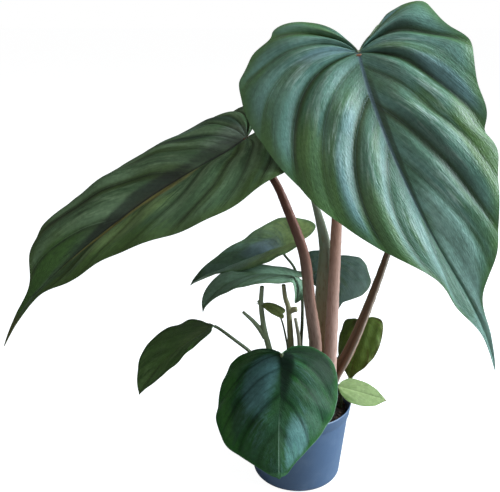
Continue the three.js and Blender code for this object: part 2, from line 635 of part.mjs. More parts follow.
// Shared corners merged and faces that collapse on the axis dropped, with only positions left.
function weld(geometry) {
  geometry.deleteAttribute('normal');
  geometry.deleteAttribute('uv');
  const merged = mergeVertices(geometry, 1e-3);
  const index = [...merged.index.array];
  const kept = [];
  for (let i = 0; i < index.length; i += 3) {
    const face = index.slice(i, i + 3);
    if (new Set(face).size === 3) kept.push(...face);
  }
  merged.setIndex(kept);
  return merged;
}

// A closed solid of revolution from a profile of [radius, height] that starts and ends on the axis.
function latheGeometry(profile) {
  const points = profile.map(([radius, z]) => new THREE.Vector2(radius, z));
  const raw = new THREE.LatheGeometry(points, POT_SIDES);
  raw.rotateX(Math.PI / 2);
  return weld(raw);
}

function potWallRadius(z) {
  const bandFoot = POT_HEIGHT - POT_BAND_HEIGHT;
  return POT_BASE_RADIUS + (POT_RIM_RADIUS - 2 * POT_BAND_STEP - POT_BASE_RADIUS) * z / bandFoot;
}

// The rounded heel between the flat of the base and the wall.
function heelProfile(flat, wall, bottom) {
  const steps = [...Array(POT_HEEL_STEPS + 1).keys()];
  return steps.map((i) => {
    const angle = Math.PI / 2 * i / POT_HEEL_STEPS;
    return [flat + (wall - flat) * Math.sin(angle), bottom + POT_HEEL_HEIGHT * (1 - Math.cos(angle))];
  });
}

function potShape() {
  const bandFoot = POT_HEIGHT - POT_BAND_HEIGHT;
  const wallTop = potWallRadius(bandFoot);
  const outerHeel = heelProfile(POT_FLAT_RADIUS, potWallRadius(POT_HEEL_HEIGHT), 0);
  const innerHeel = heelProfile(
    POT_FLAT_RADIUS - POT_WALL, potWallRadius(POT_HEEL_HEIGHT + POT_FLOOR) - POT_WALL, POT_FLOOR);
  const profile = [
    [0, 0], ...outerHeel, [wallTop, bandFoot - POT_BAND_LEDGE],
    [POT_RIM_RADIUS - POT_BAND_STEP, bandFoot], [POT_RIM_RADIUS, POT_HEIGHT - POT_RIM_ROUND],
    [POT_RIM_RADIUS - POT_RIM_ROUND, POT_HEIGHT], [POT_RIM_RADIUS - POT_WALL, POT_HEIGHT - POT_RIM_ROUND],
    [wallTop - POT_WALL, bandFoot - 2 * POT_WALL], ...innerHeel.reverse(), [0, POT_FLOOR],
  ];
  let solid = toSolid(latheGeometry(profile));
  for (let i = 0; i < DRAIN_HOLES; i += 1) {
    const angle = 2 * Math.PI * (i + 0.5) / DRAIN_HOLES;
    const hole = new THREE.CylinderGeometry(DRAIN_RADIUS, DRAIN_RADIUS, POT_FLOOR * 3, DRAIN_SIDES);
    hole.rotateX(Math.PI / 2);
    hole.translate(DRAIN_CIRCLE * Math.cos(angle), DRAIN_CIRCLE * Math.sin(angle), POT_FLOOR / 2);
    solid = solid.subtract(toSolid(weld(hole)));
  }
  return fromSolid(solid);
}

// Height of the lumps of bark and fibre above the level of the potting mix.
function soilLump(x, y) {
  const coarse = Math.sin(x * 0.21 + 1.3) * Math.cos(y * 0.24 - 0.6);
  const fine = Math.sin(x * 0.53 - y * 0.31 + 2.1) * Math.sin(y * 0.47 + x * 0.12);
  return SOIL_LUMP * (0.6 * coarse + 0.4 * fine);
}

// The potting mix fills the pot and has a plain hole for every stem.
function soilShape(stemHoles) {
  const bottom = POT_FLOOR + SEAT_GAP;
  const ledge = POT_HEIGHT - POT_BAND_HEIGHT - 2 * POT_WALL;
  const wallInside = potWallRadius(POT_HEIGHT - POT_BAND_HEIGHT) - POT_WALL - SOIL_GAP;
  const topRadius = wallInside - SOIL_GAP;
  const heelInside = potWallRadius(POT_HEEL_HEIGHT + bottom) - POT_WALL - SOIL_GAP;
  const profile = [
    [0, bottom], ...heelProfile(POT_FLAT_RADIUS - POT_WALL - SOIL_GAP, heelInside, bottom),
    [wallInside, ledge],
  ];
  for (let i = 0; i < SOIL_RINGS; i += 1) profile.push([topRadius * (1 - i / SOIL_RINGS), SOIL_LEVEL]);
  profile.push([0, SOIL_LEVEL]);
  const geometry = latheGeometry(profile);
  const position = geometry.attributes.position;
  for (let i = 0; i < position.count; i += 1) {
    if (position.getZ(i) > ledge + SOIL_GAP) {
      position.setZ(i, SOIL_LEVEL + soilLump(position.getX(i), position.getY(i)));
    }
  }
  let solid = toSolid(geometry);
  for (const hole of stemHoles) solid = solid.subtract(toSolid(hole));
  return fromSolid(solid);
}

const plant = new THREE.Group();

function addMesh(name, geometry, finish) {
  const mesh = new THREE.Mesh(geometry, makeMaterial(finish));
  mesh.name = name;
  plant.add(mesh);
}

addMesh('pot', potShape(), 'potPlastic');
addMesh('soil', soilShape([...PETIOLES, ...STUBS].map(stemHole)), 'soil');
for (const petiole of PETIOLES) addMesh(petiole.name, petioleShape(petiole), petiole.finish);
for (const stub of STUBS) addMesh(stub.name, stubShape(stub), stub.finish);
for (const leaf of LEAVES) addMesh(leaf.name, bladeGeometry(leaf), leaf.finish);

export default plant;
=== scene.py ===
"""Potted Philodendron mamei: quilted silver leaves in a 12 cm nursery pot, dressed for rendering.

Sizes are millimetres, as in the CAD, and every mesh is brought to metres when it is laid out.
The plant's front is -Y, +Z is up and the origin is the centre of the pot's base.
"""

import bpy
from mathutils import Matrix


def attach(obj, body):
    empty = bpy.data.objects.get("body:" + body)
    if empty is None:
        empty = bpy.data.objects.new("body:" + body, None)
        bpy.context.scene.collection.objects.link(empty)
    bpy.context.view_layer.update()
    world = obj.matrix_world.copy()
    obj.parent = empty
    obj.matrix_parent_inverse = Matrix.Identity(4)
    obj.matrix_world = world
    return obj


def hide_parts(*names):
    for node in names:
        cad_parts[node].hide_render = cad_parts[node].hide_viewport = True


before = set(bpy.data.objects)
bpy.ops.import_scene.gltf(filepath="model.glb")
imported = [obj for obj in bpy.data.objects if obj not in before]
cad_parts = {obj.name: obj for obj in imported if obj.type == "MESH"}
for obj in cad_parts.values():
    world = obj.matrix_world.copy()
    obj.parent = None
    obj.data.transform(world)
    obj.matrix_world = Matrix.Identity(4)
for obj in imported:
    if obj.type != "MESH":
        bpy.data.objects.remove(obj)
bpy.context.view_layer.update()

import logging
import math
import random
from collections.abc import Callable, Iterator, Sequence
from contextlib import contextmanager
from dataclasses import dataclass, field, replace
from enum import Enum

import bpy
import numpy as np
from bpy.types import Material, Node, NodeSocket, Object
from mathutils import Matrix, Vector

MM = 0.001
BODY = "root"
WELD_DISTANCE = 1e-5
WHITE = (1.0, 1.0, 1.0, 1.0)

Array = np.ndarray
Pair = tuple[float, float]
Point = tuple[float, float, float]
Colour = tuple[float, float, float, float]
Layout = Callable[[Array, Array], tuple[Array, dict[str, Array]]]

log = logging.getLogger("philodendron")


def srgb(red: float, green: float, blue: float) -> Colour:
    """Turns a display colour into the linear one that a shader takes.

    Args:
        red: Red from 0 to 255.
        green: Green from 0 to 255.
        blue: Blue from 0 to 255.

    Returns:
        The linear colour with full alpha.
    """
    def linear(channel: float) -> float:
        """Undoes the display curve of one channel."""
        share = channel / 255.0
        return share / 12.92 if share <= 0.04045 else ((share + 0.055) / 1.055) ** 2.4

    return linear(red), linear(green), linear(blue), 1.0


def smoothstep(low: float, high: float, value: Array) -> Array:
    """Rises smoothly from 0 to 1 while the value goes from low to high."""
    share = np.clip((value - low) / (high - low), 0.0, 1.0)
    return share * share * (3.0 - 2.0 * share)


def unit(vectors: Array) -> Array:
    """Scales vectors to length one."""
    return vectors / np.maximum(np.linalg.norm(vectors, axis=-1, keepdims=True), 1e-12)


def hermite(here: Array, after: Array, leave: Array, arrive: Array, share: Array) -> Array:
    """Runs a cubic curve from one point to the next.

    Args:
        here: Where it starts.
        after: Where it ends.
        leave: Its speed at the start.
        arrive: Its speed at the end.
        share: Shares of the way, from 0 to 1.

    Returns:
        The places at those shares.
    """
    return (
        (2.0 * here - 2.0 * after + leave + arrive) * share**3
        + (-3.0 * here + 3.0 * after - 2.0 * leave - arrive) * share**2
        + leave * share + here)


class Ripple:
    """A seeded sum of plane waves, which gives soft uneven ground in two dimensions."""

    def __init__(self, seed: int, wavelength: float, waves: int = 7) -> None:
        """Draws the waves.

        Args:
            seed: Seed of the draw.
            wavelength: Middle length of the waves.
            waves: How many are summed.
        """
        draw = random.Random(seed)
        turns = [draw.uniform(0.0, math.tau) for _ in range(waves)]
        rates = [math.tau / wavelength * draw.uniform(0.6, 1.6) for _ in range(waves)]
        self.phases = np.array([draw.uniform(0.0, math.tau) for _ in range(waves)])
        self.across = np.array([rate * math.cos(turn) for rate, turn in zip(rates, turns)])
        self.upward = np.array([rate * math.sin(turn) for rate, turn in zip(rates, turns)])

    def at(self, x: Array, y: Array) -> Array:
        """Height of the ripple at each place, mostly between -1 and 1."""
        angle = np.multiply.outer(x, self.across) + np.multiply.outer(y, self.upward) + self.phases
        return np.sin(angle).sum(axis=-1) / math.sqrt(len(self.phases) / 2.0) / 1.6


def deselect_all() -> None:
    """Leaves nothing selected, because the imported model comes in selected."""
    bpy.ops.object.select_all(action="DESELECT")


def choose(*pieces: Object) -> None:
    """Selects these pieces alone and makes the first one active.

    Args:
        *pieces: The pieces.
    """
    deselect_all()
    for piece in pieces:
        piece.select_set(True)
    bpy.context.view_layer.objects.active = pieces[0]


@contextmanager
def editing(piece: Object) -> Iterator[None]:
    """Opens edit mode on one piece, with all of its mesh selected.

    Args:
        piece: The piece to edit.
    """
    choose(piece)
    bpy.ops.object.mode_set(mode="EDIT")
    bpy.ops.mesh.select_all(action="SELECT")
    yield
    bpy.ops.object.mode_set(mode="OBJECT")


def apply_modifier(piece: Object, kind: str, **settings: object) -> None:
    """Adds a modifier to a piece and applies it.

    Args:
        piece: The piece to change.
        kind: The modifier's type.
        **settings: Its settings.
    """
    choose(piece)
    modifier = piece.modifiers.new(kind.title(), kind)
    for name, value in settings.items():
        setattr(modifier, name, value)
    bpy.ops.object.modifier_apply(modifier=modifier.name)


def points_of(piece: Object) -> Array:
    """Coordinates of a piece's points, one row each.

    Args:
        piece: The piece.

    Returns:
        The coordinates in metres.
    """
    points = np.empty(len(piece.data.vertices) * 3)
    piece.data.vertices.foreach_get("co", points)
    return points.reshape(-1, 3)


def place_points(piece: Object, points: Array) -> None:
    """Writes the coordinates of a piece's points."""
    piece.data.vertices.foreach_set("co", points.ravel())
    piece.data.update()


def attribute_of(piece: Object, name: str) -> Array:
    """Values of one of a piece's point attributes.

    Args:
        piece: The piece.
        name: The attribute's name.

    Returns:
        A value for every point.
    """
    values = np.empty(len(piece.data.vertices), dtype=np.float32)
    piece.data.attributes[name].data.foreach_get("value", values)
    return values


def lay_sheet(name: str, columns: int, rows: int, layout: Layout) -> Object:
    """Lays a grid over a shape, as cloth over a form, and welds what meets.

    Args:
        name: Name of the new piece.
        columns: Faces along the first direction.
        rows: Faces along the second direction.
        layout: Gives points in millimetres and named point values for shares from 0 to 1 of
            both directions. The values "map_u" and "map_v" become the UV map.

    Returns:
        The new piece, with its values as point attributes.
    """
    deselect_all()
    bpy.ops.mesh.primitive_grid_add(x_subdivisions=columns, y_subdivisions=rows, size=1.0)
    piece = bpy.context.active_object
    piece.name = piece.data.name = name
    flat = points_of(piece)
    points, values = layout(flat[:, 0] + 0.5, flat[:, 1] + 0.5)
    place_points(piece, points * MM)
    mesh = piece.data
    corners = np.empty(len(mesh.loops), dtype=np.int32)
    mesh.loops.foreach_get("vertex_index", corners)
    uv = np.stack([values.pop("map_u"), values.pop("map_v")], axis=-1)[corners]
    mesh.uv_layers[0].data.foreach_set("uv", uv.astype(np.float32).ravel())
    for key, value in values.items():
        attribute = mesh.attributes.new(key, "FLOAT", "POINT")
        attribute.data.foreach_set("value", value.astype(np.float32))
    with editing(piece):
        bpy.ops.mesh.remove_doubles(threshold=WELD_DISTANCE)
    return piece


def lay_disc(name: str, sides: int, radius: float, height: float) -> Object:
    """Lays a flat disc round the plant's axis, from which a turned piece is drawn up.

    Args:
        name: Name of the new piece.
        sides: Edges round it.
        radius: Its radius in millimetres.
        height: How high it lies, in millimetres.

    Returns:
        The new piece.
    """
    deselect_all()
    bpy.ops.mesh.primitive_circle_add(
        vertices=sides, radius=radius * MM, fill_type="NGON", location=(0.0, 0.0, height * MM))
    disc = bpy.context.active_object
    disc.name = disc.data.name = name
    bpy.ops.object.transform_apply(location=True, rotation=True, scale=True)
    return disc


def draw_up(rise: float, size: float = 1.0) -> None:
    """Extrudes the selected disc by so many millimetres and scales its new end round the axis."""
    bpy.ops.mesh.extrude_region_move(TRANSFORM_OT_translate={"value": (0.0, 0.0, rise * MM)})
    bpy.ops.transform.resize(value=(size, size, 1.0), center_override=(0.0, 0.0, 0.0))


def merge_pieces(name: str, pieces: Sequence[Object]) -> Object:
    """Joins pieces into one.

    Args:
        name: Name of the joined piece.
        pieces: The pieces to join.

    Returns:
        The joined piece.
    """
    choose(*pieces)
    bpy.ops.object.join()
    joined = bpy.context.active_object
    joined.name = joined.data.name = name
    return joined


def smooth_by(piece: Object, degrees: float) -> None:
    """Shades a piece smooth, with edges sharper than this angle left crisp."""
    choose(piece)
    bpy.ops.object.shade_smooth_by_angle(angle=math.radians(degrees))


def settle(piece: Object, node: str, slot: str, *materials: Material) -> Object:
    """Dresses a finished piece, hangs it on the plant's body and hides the CAD node that it stands for.

    Args:
        piece: The finished piece.
        node: The CAD node.
        slot: The record's material slot; not used.
        *materials: Materials in slot order.

    Returns:
        The same piece.
    """
    if not piece.data.materials:
        for _ in materials:
            piece.data.materials.append(None)
    for index, material in enumerate(materials):
        piece.data.materials[index] = material
    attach(piece, BODY)
    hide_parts(node)
    log.info("%s: %d faces", piece.name, len(piece.data.polygons))
    return piece


class Graph:
    """Builds the shader nodes of one material, a line at a time."""

    def __init__(self, name: str) -> None:
        """Makes an empty material with its shader.

        Args:
            name: Name of the material.
        """
        self.material: Material = bpy.data.materials.new(name)
        self.material.use_nodes = True
        self.tree = self.material.node_tree
        self.shader: Node = self.tree.nodes["Principled BSDF"]

    def feed(self, socket: NodeSocket, value: NodeSocket | float | Colour | Point) -> None:
        """Links an output to a socket, or sets the socket's own value.

        Args:
            socket: The socket.
            value: The output or the value.
        """
        if isinstance(value, NodeSocket):
            self.tree.links.new(value, socket)
        else:
            socket.default_value = value

    def set(self, name: str, value: NodeSocket | float | Colour) -> None:
        """Feeds one of the shader's sockets by name."""
        self.feed(self.shader.inputs[name], value)

    def attribute(self, name: str) -> NodeSocket:
        """Reads a point value of the mesh.

        Args:
            name: The value's name.

        Returns:
            The value.
        """
        node = self.tree.nodes.new("ShaderNodeAttribute")
        node.attribute_name = name
        return node.outputs["Fac"]

    def surface_map(self) -> tuple[NodeSocket, NodeSocket]:
        """Reads both coordinates of the piece's UV map.

        Returns:
            The way along the surface and the way across it.
        """
        node = self.tree.nodes.new("ShaderNodeUVMap")
        node.uv_map = "UVMap"
        split = self.tree.nodes.new("ShaderNodeSeparateXYZ")
        self.feed(split.inputs[0], node.outputs[0])
        return split.outputs[0], split.outputs[1]

    def place(self) -> NodeSocket:
        """Reads the place on the piece in metres."""
        return self.tree.nodes.new("ShaderNodeTexCoord").outputs["Object"]

    def height(self) -> NodeSocket:
        """Reads the height on the piece in metres.

        Returns:
            The height.
        """
        split = self.tree.nodes.new("ShaderNodeSeparateXYZ")
        self.feed(split.inputs[0], self.place())
        return split.outputs["Z"]

    def combine(self, x: NodeSocket | float, y: NodeSocket | float, z: NodeSocket | float) -> NodeSocket:
        """Makes a vector of three numbers.

        Args:
            x: First number.
            y: Second number.
            z: Third number.

        Returns:
            The vector.
        """
        node = self.tree.nodes.new("ShaderNodeCombineXYZ")
        for socket, value in zip(node.inputs, (x, y, z)):
            self.feed(socket, value)
        return node.outputs[0]

    def math(self, operation: str, first: NodeSocket | float, second: NodeSocket | float = 0.0) -> NodeSocket:
        """Works out one sum.

        Args:
            operation: Name of the sum.
            first: First number.
            second: Second number.

        Returns:
            The result.
        """
        node = self.tree.nodes.new("ShaderNodeMath")
        node.operation = operation
        self.feed(node.inputs[0], first)
        self.feed(node.inputs[1], second)
        return node.outputs[0]

    def times(self, *numbers: NodeSocket | float) -> NodeSocket:
        """Multiplies two or more numbers.

        Args:
            *numbers: The numbers.

        Returns:
            Their product.
        """
        product = numbers[0]
        for number in numbers[1:]:
            product = self.math("MULTIPLY", product, number)
        return product

    def stretched(
        self, u: NodeSocket, v: NodeSocket, per_u: float, per_v: float, seed: float = 0.0
    ) -> NodeSocket:
        """Stretches both ways of a surface map, so that the noise read there runs in streaks."""
        return self.combine(self.times(u, per_u), self.times(v, per_v), seed)

    def rise(
        self, value: NodeSocket, low: float, high: float, start: float = 0.0, end: float = 1.0
    ) -> NodeSocket:
        """Rises smoothly from start to end while a value goes from low to high.

        Args:
            value: The value that is read.
            low: Where the rise starts.
            high: Where it ends.
            start: What it gives before.
            end: What it gives after.

        Returns:
            The height of the rise.
        """
        node = self.tree.nodes.new("ShaderNodeMapRange")
        node.interpolation_type = "SMOOTHSTEP"
        for index, number in enumerate((value, low, high, start, end)):
            self.feed(node.inputs[index], number)
        return node.outputs[0]

    def spot(self, u: NodeSocket, v: NodeSocket, place: Pair, size: Pair) -> NodeSocket:
        """Marks a soft oval on the surface.

        Args:
            u: The way along the surface.
            v: The way across it.
            place: Where the oval's centre is.
            size: Its half length and half width.

        Returns:
            One at the centre, falling to 0 at the rim.
        """
        ways = []
        for value, middle, half in ((u, place[0], size[0]), (v, place[1], size[1])):
            offset = self.math("DIVIDE", self.math("SUBTRACT", value, middle), half)
            ways.append(self.times(offset, offset))
        return self.rise(self.math("ADD", *ways), 0.0, 1.0, 1.0, 0.0)

    def noise(
        self, vector: NodeSocket, scale: float = 1.0, detail: float = 2.0, roughness: float = 0.5
    ) -> NodeSocket:
        """Reads a soft noise between 0 and 1.

        Args:
            vector: Where it is read.
            scale: Lumps per unit.
            detail: Layers of finer noise.
            roughness: Strength of the finer layers.

        Returns:
            The noise.
        """
        node = self.tree.nodes.new("ShaderNodeTexNoise")
        self.feed(node.inputs["Vector"], vector)
        node.inputs["Scale"].default_value = scale
        node.inputs["Detail"].default_value = detail
        node.inputs["Roughness"].default_value = roughness
        return node.outputs[0]

    def cells(self, vector: NodeSocket, scale: float) -> NodeSocket:
        """Reads the distance to the nearest of many scattered points.

        Args:
            vector: Where it is read.
            scale: Points per unit.

        Returns:
            The distance.
        """
        node = self.tree.nodes.new("ShaderNodeTexVoronoi")
        self.feed(node.inputs["Vector"], vector)
        node.inputs["Scale"].default_value = scale
        return node.outputs["Distance"]

    def mix(
        self, share: NodeSocket | float, first: NodeSocket | Colour, second: NodeSocket | Colour,
        blend: str = "MIX",
    ) -> NodeSocket:
        """Mixes two colours.

        Args:
            share: How much of the second one, from 0 to 1.
            first: The colour below.
            second: The colour above.
            blend: The way of mixing.

        Returns:
            The mixed colour.
        """
        node = self.tree.nodes.new("ShaderNodeMix")
        node.data_type = "RGBA"
        node.blend_type = blend
        self.feed(node.inputs[0], share)
        self.feed(node.inputs[6], first)
        self.feed(node.inputs[7], second)
        return node.outputs[2]

    def shade(self, colour: NodeSocket, level: NodeSocket) -> NodeSocket:
        """Makes a colour darker or lighter by a level, where 1 leaves it as it is."""
        return self.mix(1.0, colour, self.combine(level, level, level), "MULTIPLY")

    def relief(self, height: NodeSocket, depth: float, below: NodeSocket | None = None) -> NodeSocket:
        """Turns a height between 0 and 1 into a bump.

        Args:
            height: The height.
            depth: Its full depth in metres.
            below: A coarser bump under it.

        Returns:
            The bumped normal.
        """
        node = self.tree.nodes.new("ShaderNodeBump")
        node.inputs["Distance"].default_value = depth
        self.feed(node.inputs["Height"], height)
        if below is not None:
            self.feed(node.inputs["Normal"], below)
        return node.outputs[0]


@dataclass(frozen=True)
class Patch:
    """A soft patch of another colour: its place round the margin and out from the midrib, and its size."""

    colour: Colour
    share: float
    place: Pair
    size: Pair


@dataclass(frozen=True)
class BladeFinish:
    """Colours, gloss and grain of a leaf's upper face.

    The body, crest, flank and groove colour a panel from its top down to the vein beside it. The crest
    colour is a painted highlight leaning to one side of each panel. The flank colour is the leaf's darker
    tone with painted shade down into the valleys. The groove colour is the veins' darker green with
    painted shade in their creases.
    """

    name: str
    body: Colour
    crest_sheen: Colour
    flank_shade: Colour
    groove: Colour
    margin: Colour
    midrib: Colour
    tip: Colour
    silver: Colour
    silver_share: float = 0.5
    silver_from: float = 0.1
    silver_to: float = 0.85
    streaks: float = 60.0
    streak_length: float = 3.0
    roughness: float = 0.42
    tip_from: float = 0.9
    midrib_strength: float = 0.6
    edge_line: float = 0.0
    line_share: float = 0.7
    shade_share: float = 0.35
    gloss: float = 0.35
    crest_sheen_share: float = 0.75
    streak_relief: float = 0.0007
    midrib_end: float = 0.6
    midrib_turn: Pair = (0.0, 0.9)
    ragged: float = 0.9
    patches: tuple[Patch, ...] = ()
    seed: float = 0.0
    cloud_scale: float = 20.0
    mottle_scale: float = 240.0
    grain_scale: float = 1500.0
    grain_depth: float = 0.00012
    cross_length: float = 44.0

    def material(self) -> Material:
        """Makes the upper face with its streaks, patches, veins and fine skin.

        Returns:
            The material.
        """
        graph = Graph(self.name)
        around, across = graph.surface_map()
        lines = graph.stretched(around, across, self.streaks, self.streak_length, self.seed)
        coarse = graph.noise(lines, 1.0, 3.0, 0.6)
        fine = graph.noise(lines, 3.4, 2.0, 0.6)
        grown = graph.math("ADD", graph.times(coarse, 0.6), graph.times(fine, 0.4))
        outward = graph.math("ABSOLUTE", across)
        colour = self.panels(graph, lines, grown, outward)
        ragged = graph.times(graph.math("SUBTRACT", grown, 0.5), self.ragged)
        for patch in self.patches:
            spread = graph.math("ADD", graph.spot(around, across, patch.place, patch.size), ragged)
            colour = graph.mix(graph.rise(spread, 0.15, 1.0, 0.0, patch.share), colour, patch.colour)
        colour = self.veins(graph, colour, grown, outward)
        mottle = graph.noise(graph.place(), self.mottle_scale, 3.0)
        graph.set("Base Color", graph.shade(colour, graph.rise(mottle, 0.3, 0.7, 0.88, 1.1)))
        graph.set("Roughness", graph.rise(fine, 0.25, 0.75, self.roughness - 0.07, self.roughness + 0.09))
        graph.set("Specular IOR Level", self.gloss)
        crossing = graph.stretched(around, across, 2.0 * self.streaks, self.cross_length, self.seed)
        skin = graph.relief(graph.noise(graph.place(), self.grain_scale, 2.0), self.grain_depth)
        skin = graph.relief(graph.noise(crossing, 1.0, 2.0), 0.5 * self.streak_relief, skin)
        graph.set("Normal", graph.relief(grown, self.streak_relief, skin))
        return graph.material

    def panels(self, graph: Graph, lines: NodeSocket, grown: NodeSocket, outward: NodeSocket) -> NodeSocket:
        """Colours the panels between the veins: lighter on their crests, with painted shade down their
        flanks, a painted highlight leaning to one side of each panel, and silver streaks.

        Args:
            graph: The material's nodes.
            lines: The place at which streaks are read.
            grown: The streaks' own noise.
            outward: The way out from the midrib to the margin, from 0 to 1.

        Returns:
            The colour.
        """
        puff, phase = graph.attribute("puff"), graph.attribute("phase")
        clouds = graph.noise(graph.place(), self.cloud_scale, 2.0)
        bands = graph.noise(lines, 0.33, 1.0)
        # Painted shade: the flank colour darkens each panel down into the valleys beside its veins.
        colour = graph.mix(graph.rise(puff, 0.1, 0.75), self.flank_shade, self.body)
        # Painted highlight: the crest colour leans to one side of each panel.
        sheen_lean = graph.times(graph.rise(phase, 0.3, 0.8), graph.rise(phase, 0.8, 1.0, 1.0, 0.0))
        colour = graph.mix(graph.times(sheen_lean, self.crest_sheen_share), colour, self.crest_sheen)
        olive = graph.times(graph.rise(bands, 0.46, 0.62), graph.rise(clouds, 0.35, 0.6))
        colour = graph.mix(graph.times(olive, 0.75), colour, self.margin)
        band = graph.times(
            graph.rise(outward, self.silver_from, self.silver_from + 0.18),
            graph.rise(outward, self.silver_to - 0.35, self.silver_to, 1.0, 0.0))
        share = graph.times(
            graph.rise(grown, 0.46, 0.64), band, graph.rise(puff, 0.35, 0.8),
            graph.rise(clouds, 0.32, 0.6, 0.2, 1.0), self.silver_share)
        return graph.mix(share, colour, self.silver)

    def veins(self, graph: Graph, colour: NodeSocket, grown: NodeSocket, outward: NodeSocket) -> NodeSocket:
        """Darkens the grooves, with the veins' darker green and painted shade in their creases, and colours
        the margin, the midrib and the tip.

        Args:
            graph: The material's nodes.
            colour: The colour so far.
            grown: The streaks' own noise.
            outward: The way out from the midrib to the margin, from 0 to 1.

        Returns:
            The colour.
        """
        along = graph.attribute("along")
        colour = graph.mix(graph.rise(grown, 0.3, 0.5, self.shade_share, 0.0), colour, self.groove)
        # The thin line along each vein: its darker green, with painted shade in the crease.
        colour = graph.mix(graph.times(graph.attribute("line"), self.line_share), colour, self.groove)
        colour = graph.mix(graph.rise(outward, 0.86, 1.0, 0.0, 0.75), colour, self.margin)
        rim = graph.times(graph.rise(outward, 0.985, 0.998), self.edge_line)
        colour = graph.mix(rim, colour, self.midrib)
        strength = graph.rise(along, *self.midrib_turn, self.midrib_strength, self.midrib_end)
        ribbed = graph.times(graph.rise(graph.attribute("rib"), 0.2, 0.75), strength)
        colour = graph.mix(ribbed, colour, self.midrib)
        return graph.mix(graph.rise(along, self.tip_from, 0.4 + 0.6 * self.tip_from), colour, self.tip)


@dataclass(frozen=True)
class UndersideFinish:
    """The paler, matt lower face of a leaf, with its raised veins."""

    name: str
    body: Colour
    vein: Colour
    roughness: float = 0.6
    net_scale: float = 420.0
    net_depth: float = 0.00018
    streaks: float = 55.0
    streak_length: float = 3.0
    streak_depth: float = 0.0004

    def material(self) -> Material:
        """Makes the lower face.

        Returns:
            The material.
        """
        graph = Graph(self.name)
        net = graph.cells(graph.place(), self.net_scale)
        lines = graph.stretched(*graph.surface_map(), self.streaks, self.streak_length)
        streaks = graph.noise(lines, 1.0, 3.0, 0.6)
        colour = graph.mix(graph.rise(graph.attribute("puff"), 0.0, 0.25), self.vein, self.body)
        colour = graph.mix(graph.rise(graph.attribute("rib"), 0.2, 0.7), colour, self.vein)
        graph.set("Base Color", graph.shade(colour, graph.rise(streaks, 0.3, 0.7, 0.86, 1.1)))
        graph.set("Roughness", graph.rise(net, 0.1, 0.6, self.roughness - 0.08, self.roughness + 0.08))
        skin = graph.relief(streaks, self.streak_depth)
        graph.set("Normal", graph.relief(net, self.net_depth, skin))
        return graph.material


class VeinPattern(Enum):
    """Side veins as (place, strength): shares of the margin from the junction, and groove depths."""

    PLAIN = ((0.25, 0.8), (0.5, 0.8), (0.7, 0.8), (0.85, 0.7))
    FAINT = ((0.22, 0.3), (0.46, 0.45), (0.66, 0.5), (0.82, 0.4))
    FRONT_LARGE_RIGHT = (
        (0.11, 0.35), (0.22, 0.8), (0.33, 0.55), (0.42, 0.3), (0.515, 1.0), (0.605, 0.5), (0.7, 0.9),
        (0.79, 0.55), (0.88, 0.35))
    FRONT_LARGE_LEFT = (
        (0.15, 0.35), (0.31, 1.0), (0.4, 0.2), (0.5, 1.0), (0.615, 0.6), (0.72, 0.8), (0.8, 0.45),
        (0.87, 0.3))
    LEFT_LARGE_RIGHT = (
        (0.12, 0.7), (0.24, 0.9), (0.36, 0.6), (0.47, 0.7), (0.58, 0.6), (0.67, 0.5), (0.765, 1.0),
        (0.87, 0.6))
    LEFT_LARGE_LEFT = (
        (0.14, 0.6), (0.28, 0.6), (0.41, 0.7), (0.51, 0.5), (0.6, 0.7), (0.69, 0.5), (0.78, 0.6),
        (0.86, 0.8))
    FRONT_LOW = ((0.2, 0.4), (0.38, 0.7), (0.53, 0.8), (0.67, 0.9), (0.8, 0.8), (0.9, 0.5))


@dataclass(frozen=True)
class Half:
    """One half of a blade: its half width, lobe, widest place, shoulder, fold and curl.

    The hang is how much more the lobe droops behind the junction than the blade's own lobe droop, and
    the flap is how much further down it folds, both in degrees. The ease draws the base in to an oval.
    The nips are (place, width, share) of the margin where the blade is wider or narrower.
    """

    half: float
    lobe: float
    lobe_at: float
    wide: float
    full: float
    late: float
    fold: float
    curl: float
    hang: float = 0.0
    flap: float = 0.0
    ease: float = 0.0
    nips: tuple[Point, ...] = ()
    veins: VeinPattern = VeinPattern.FAINT


# How the side veins sweep forward, and the share of the margin whose veins start at the junction
VEIN_SWEEP = 0.73
VEIN_SWEEP_POWER = 1.6
BASAL_SHARE = 0.34
# Spacing of the veins along the midrib, and the steps in which the midrib and margin are laid out
MIDRIB_POWER = 1.75
MIDRIB_STEPS = 60
MARGIN_STEPS = 260
# Growth of the droop and of the drip tip's bend, the drip tip's zone in drip lengths, and where the
# lobe behind the junction reaches its full droop, in blade lengths
DROOP_POWER = 1.5
DRIP_POWER = 1.5
DRIP_ZONE = 1.5
LOBE_REACH = 0.2
# Half width in millimetres of the ridge where both halves meet
RIDGE_WIDTH = 4.0
# Spread of the rows, form of a panel, its level height, and the width of a vein's line
ROW_POWER = 1.3
CREST_POWER = 1.35
LEVEL_HEIGHT = 0.4
VEIN_LINE = 0.007
# Length of the lumps in blade lengths, and of the margin's waves in shares of the margin
LUMP_LENGTH = 0.22
WAVE_LENGTH = 0.16
# Where the midrib has grown to its full depth below, and how far the side veins stand out there
RIB_GROWTH = 0.06
VEIN_SHARE = 0.25


def spline_through(corners: Array, steps: int) -> Array:
    """Runs a uniform Catmull-Rom curve through corners.

    Args:
        corners: The corners, one row each.
        steps: How many points the curve gets for each stretch between corners.

    Returns:
        Points of the curve.
    """
    count = len(corners) - 1
    place = np.linspace(0.0, count, count * steps + 1)
    index = np.minimum(place.astype(int), count - 1)
    share = (place - index)[:, None]
    before = corners[np.maximum(index - 1, 0)]
    here, after = corners[index], corners[index + 1]
    beyond = corners[np.minimum(index + 2, count)]
    leave, arrive = 0.5 * (after - before), 0.5 * (beyond - here)
    return hermite(here, after, leave, arrive, share)


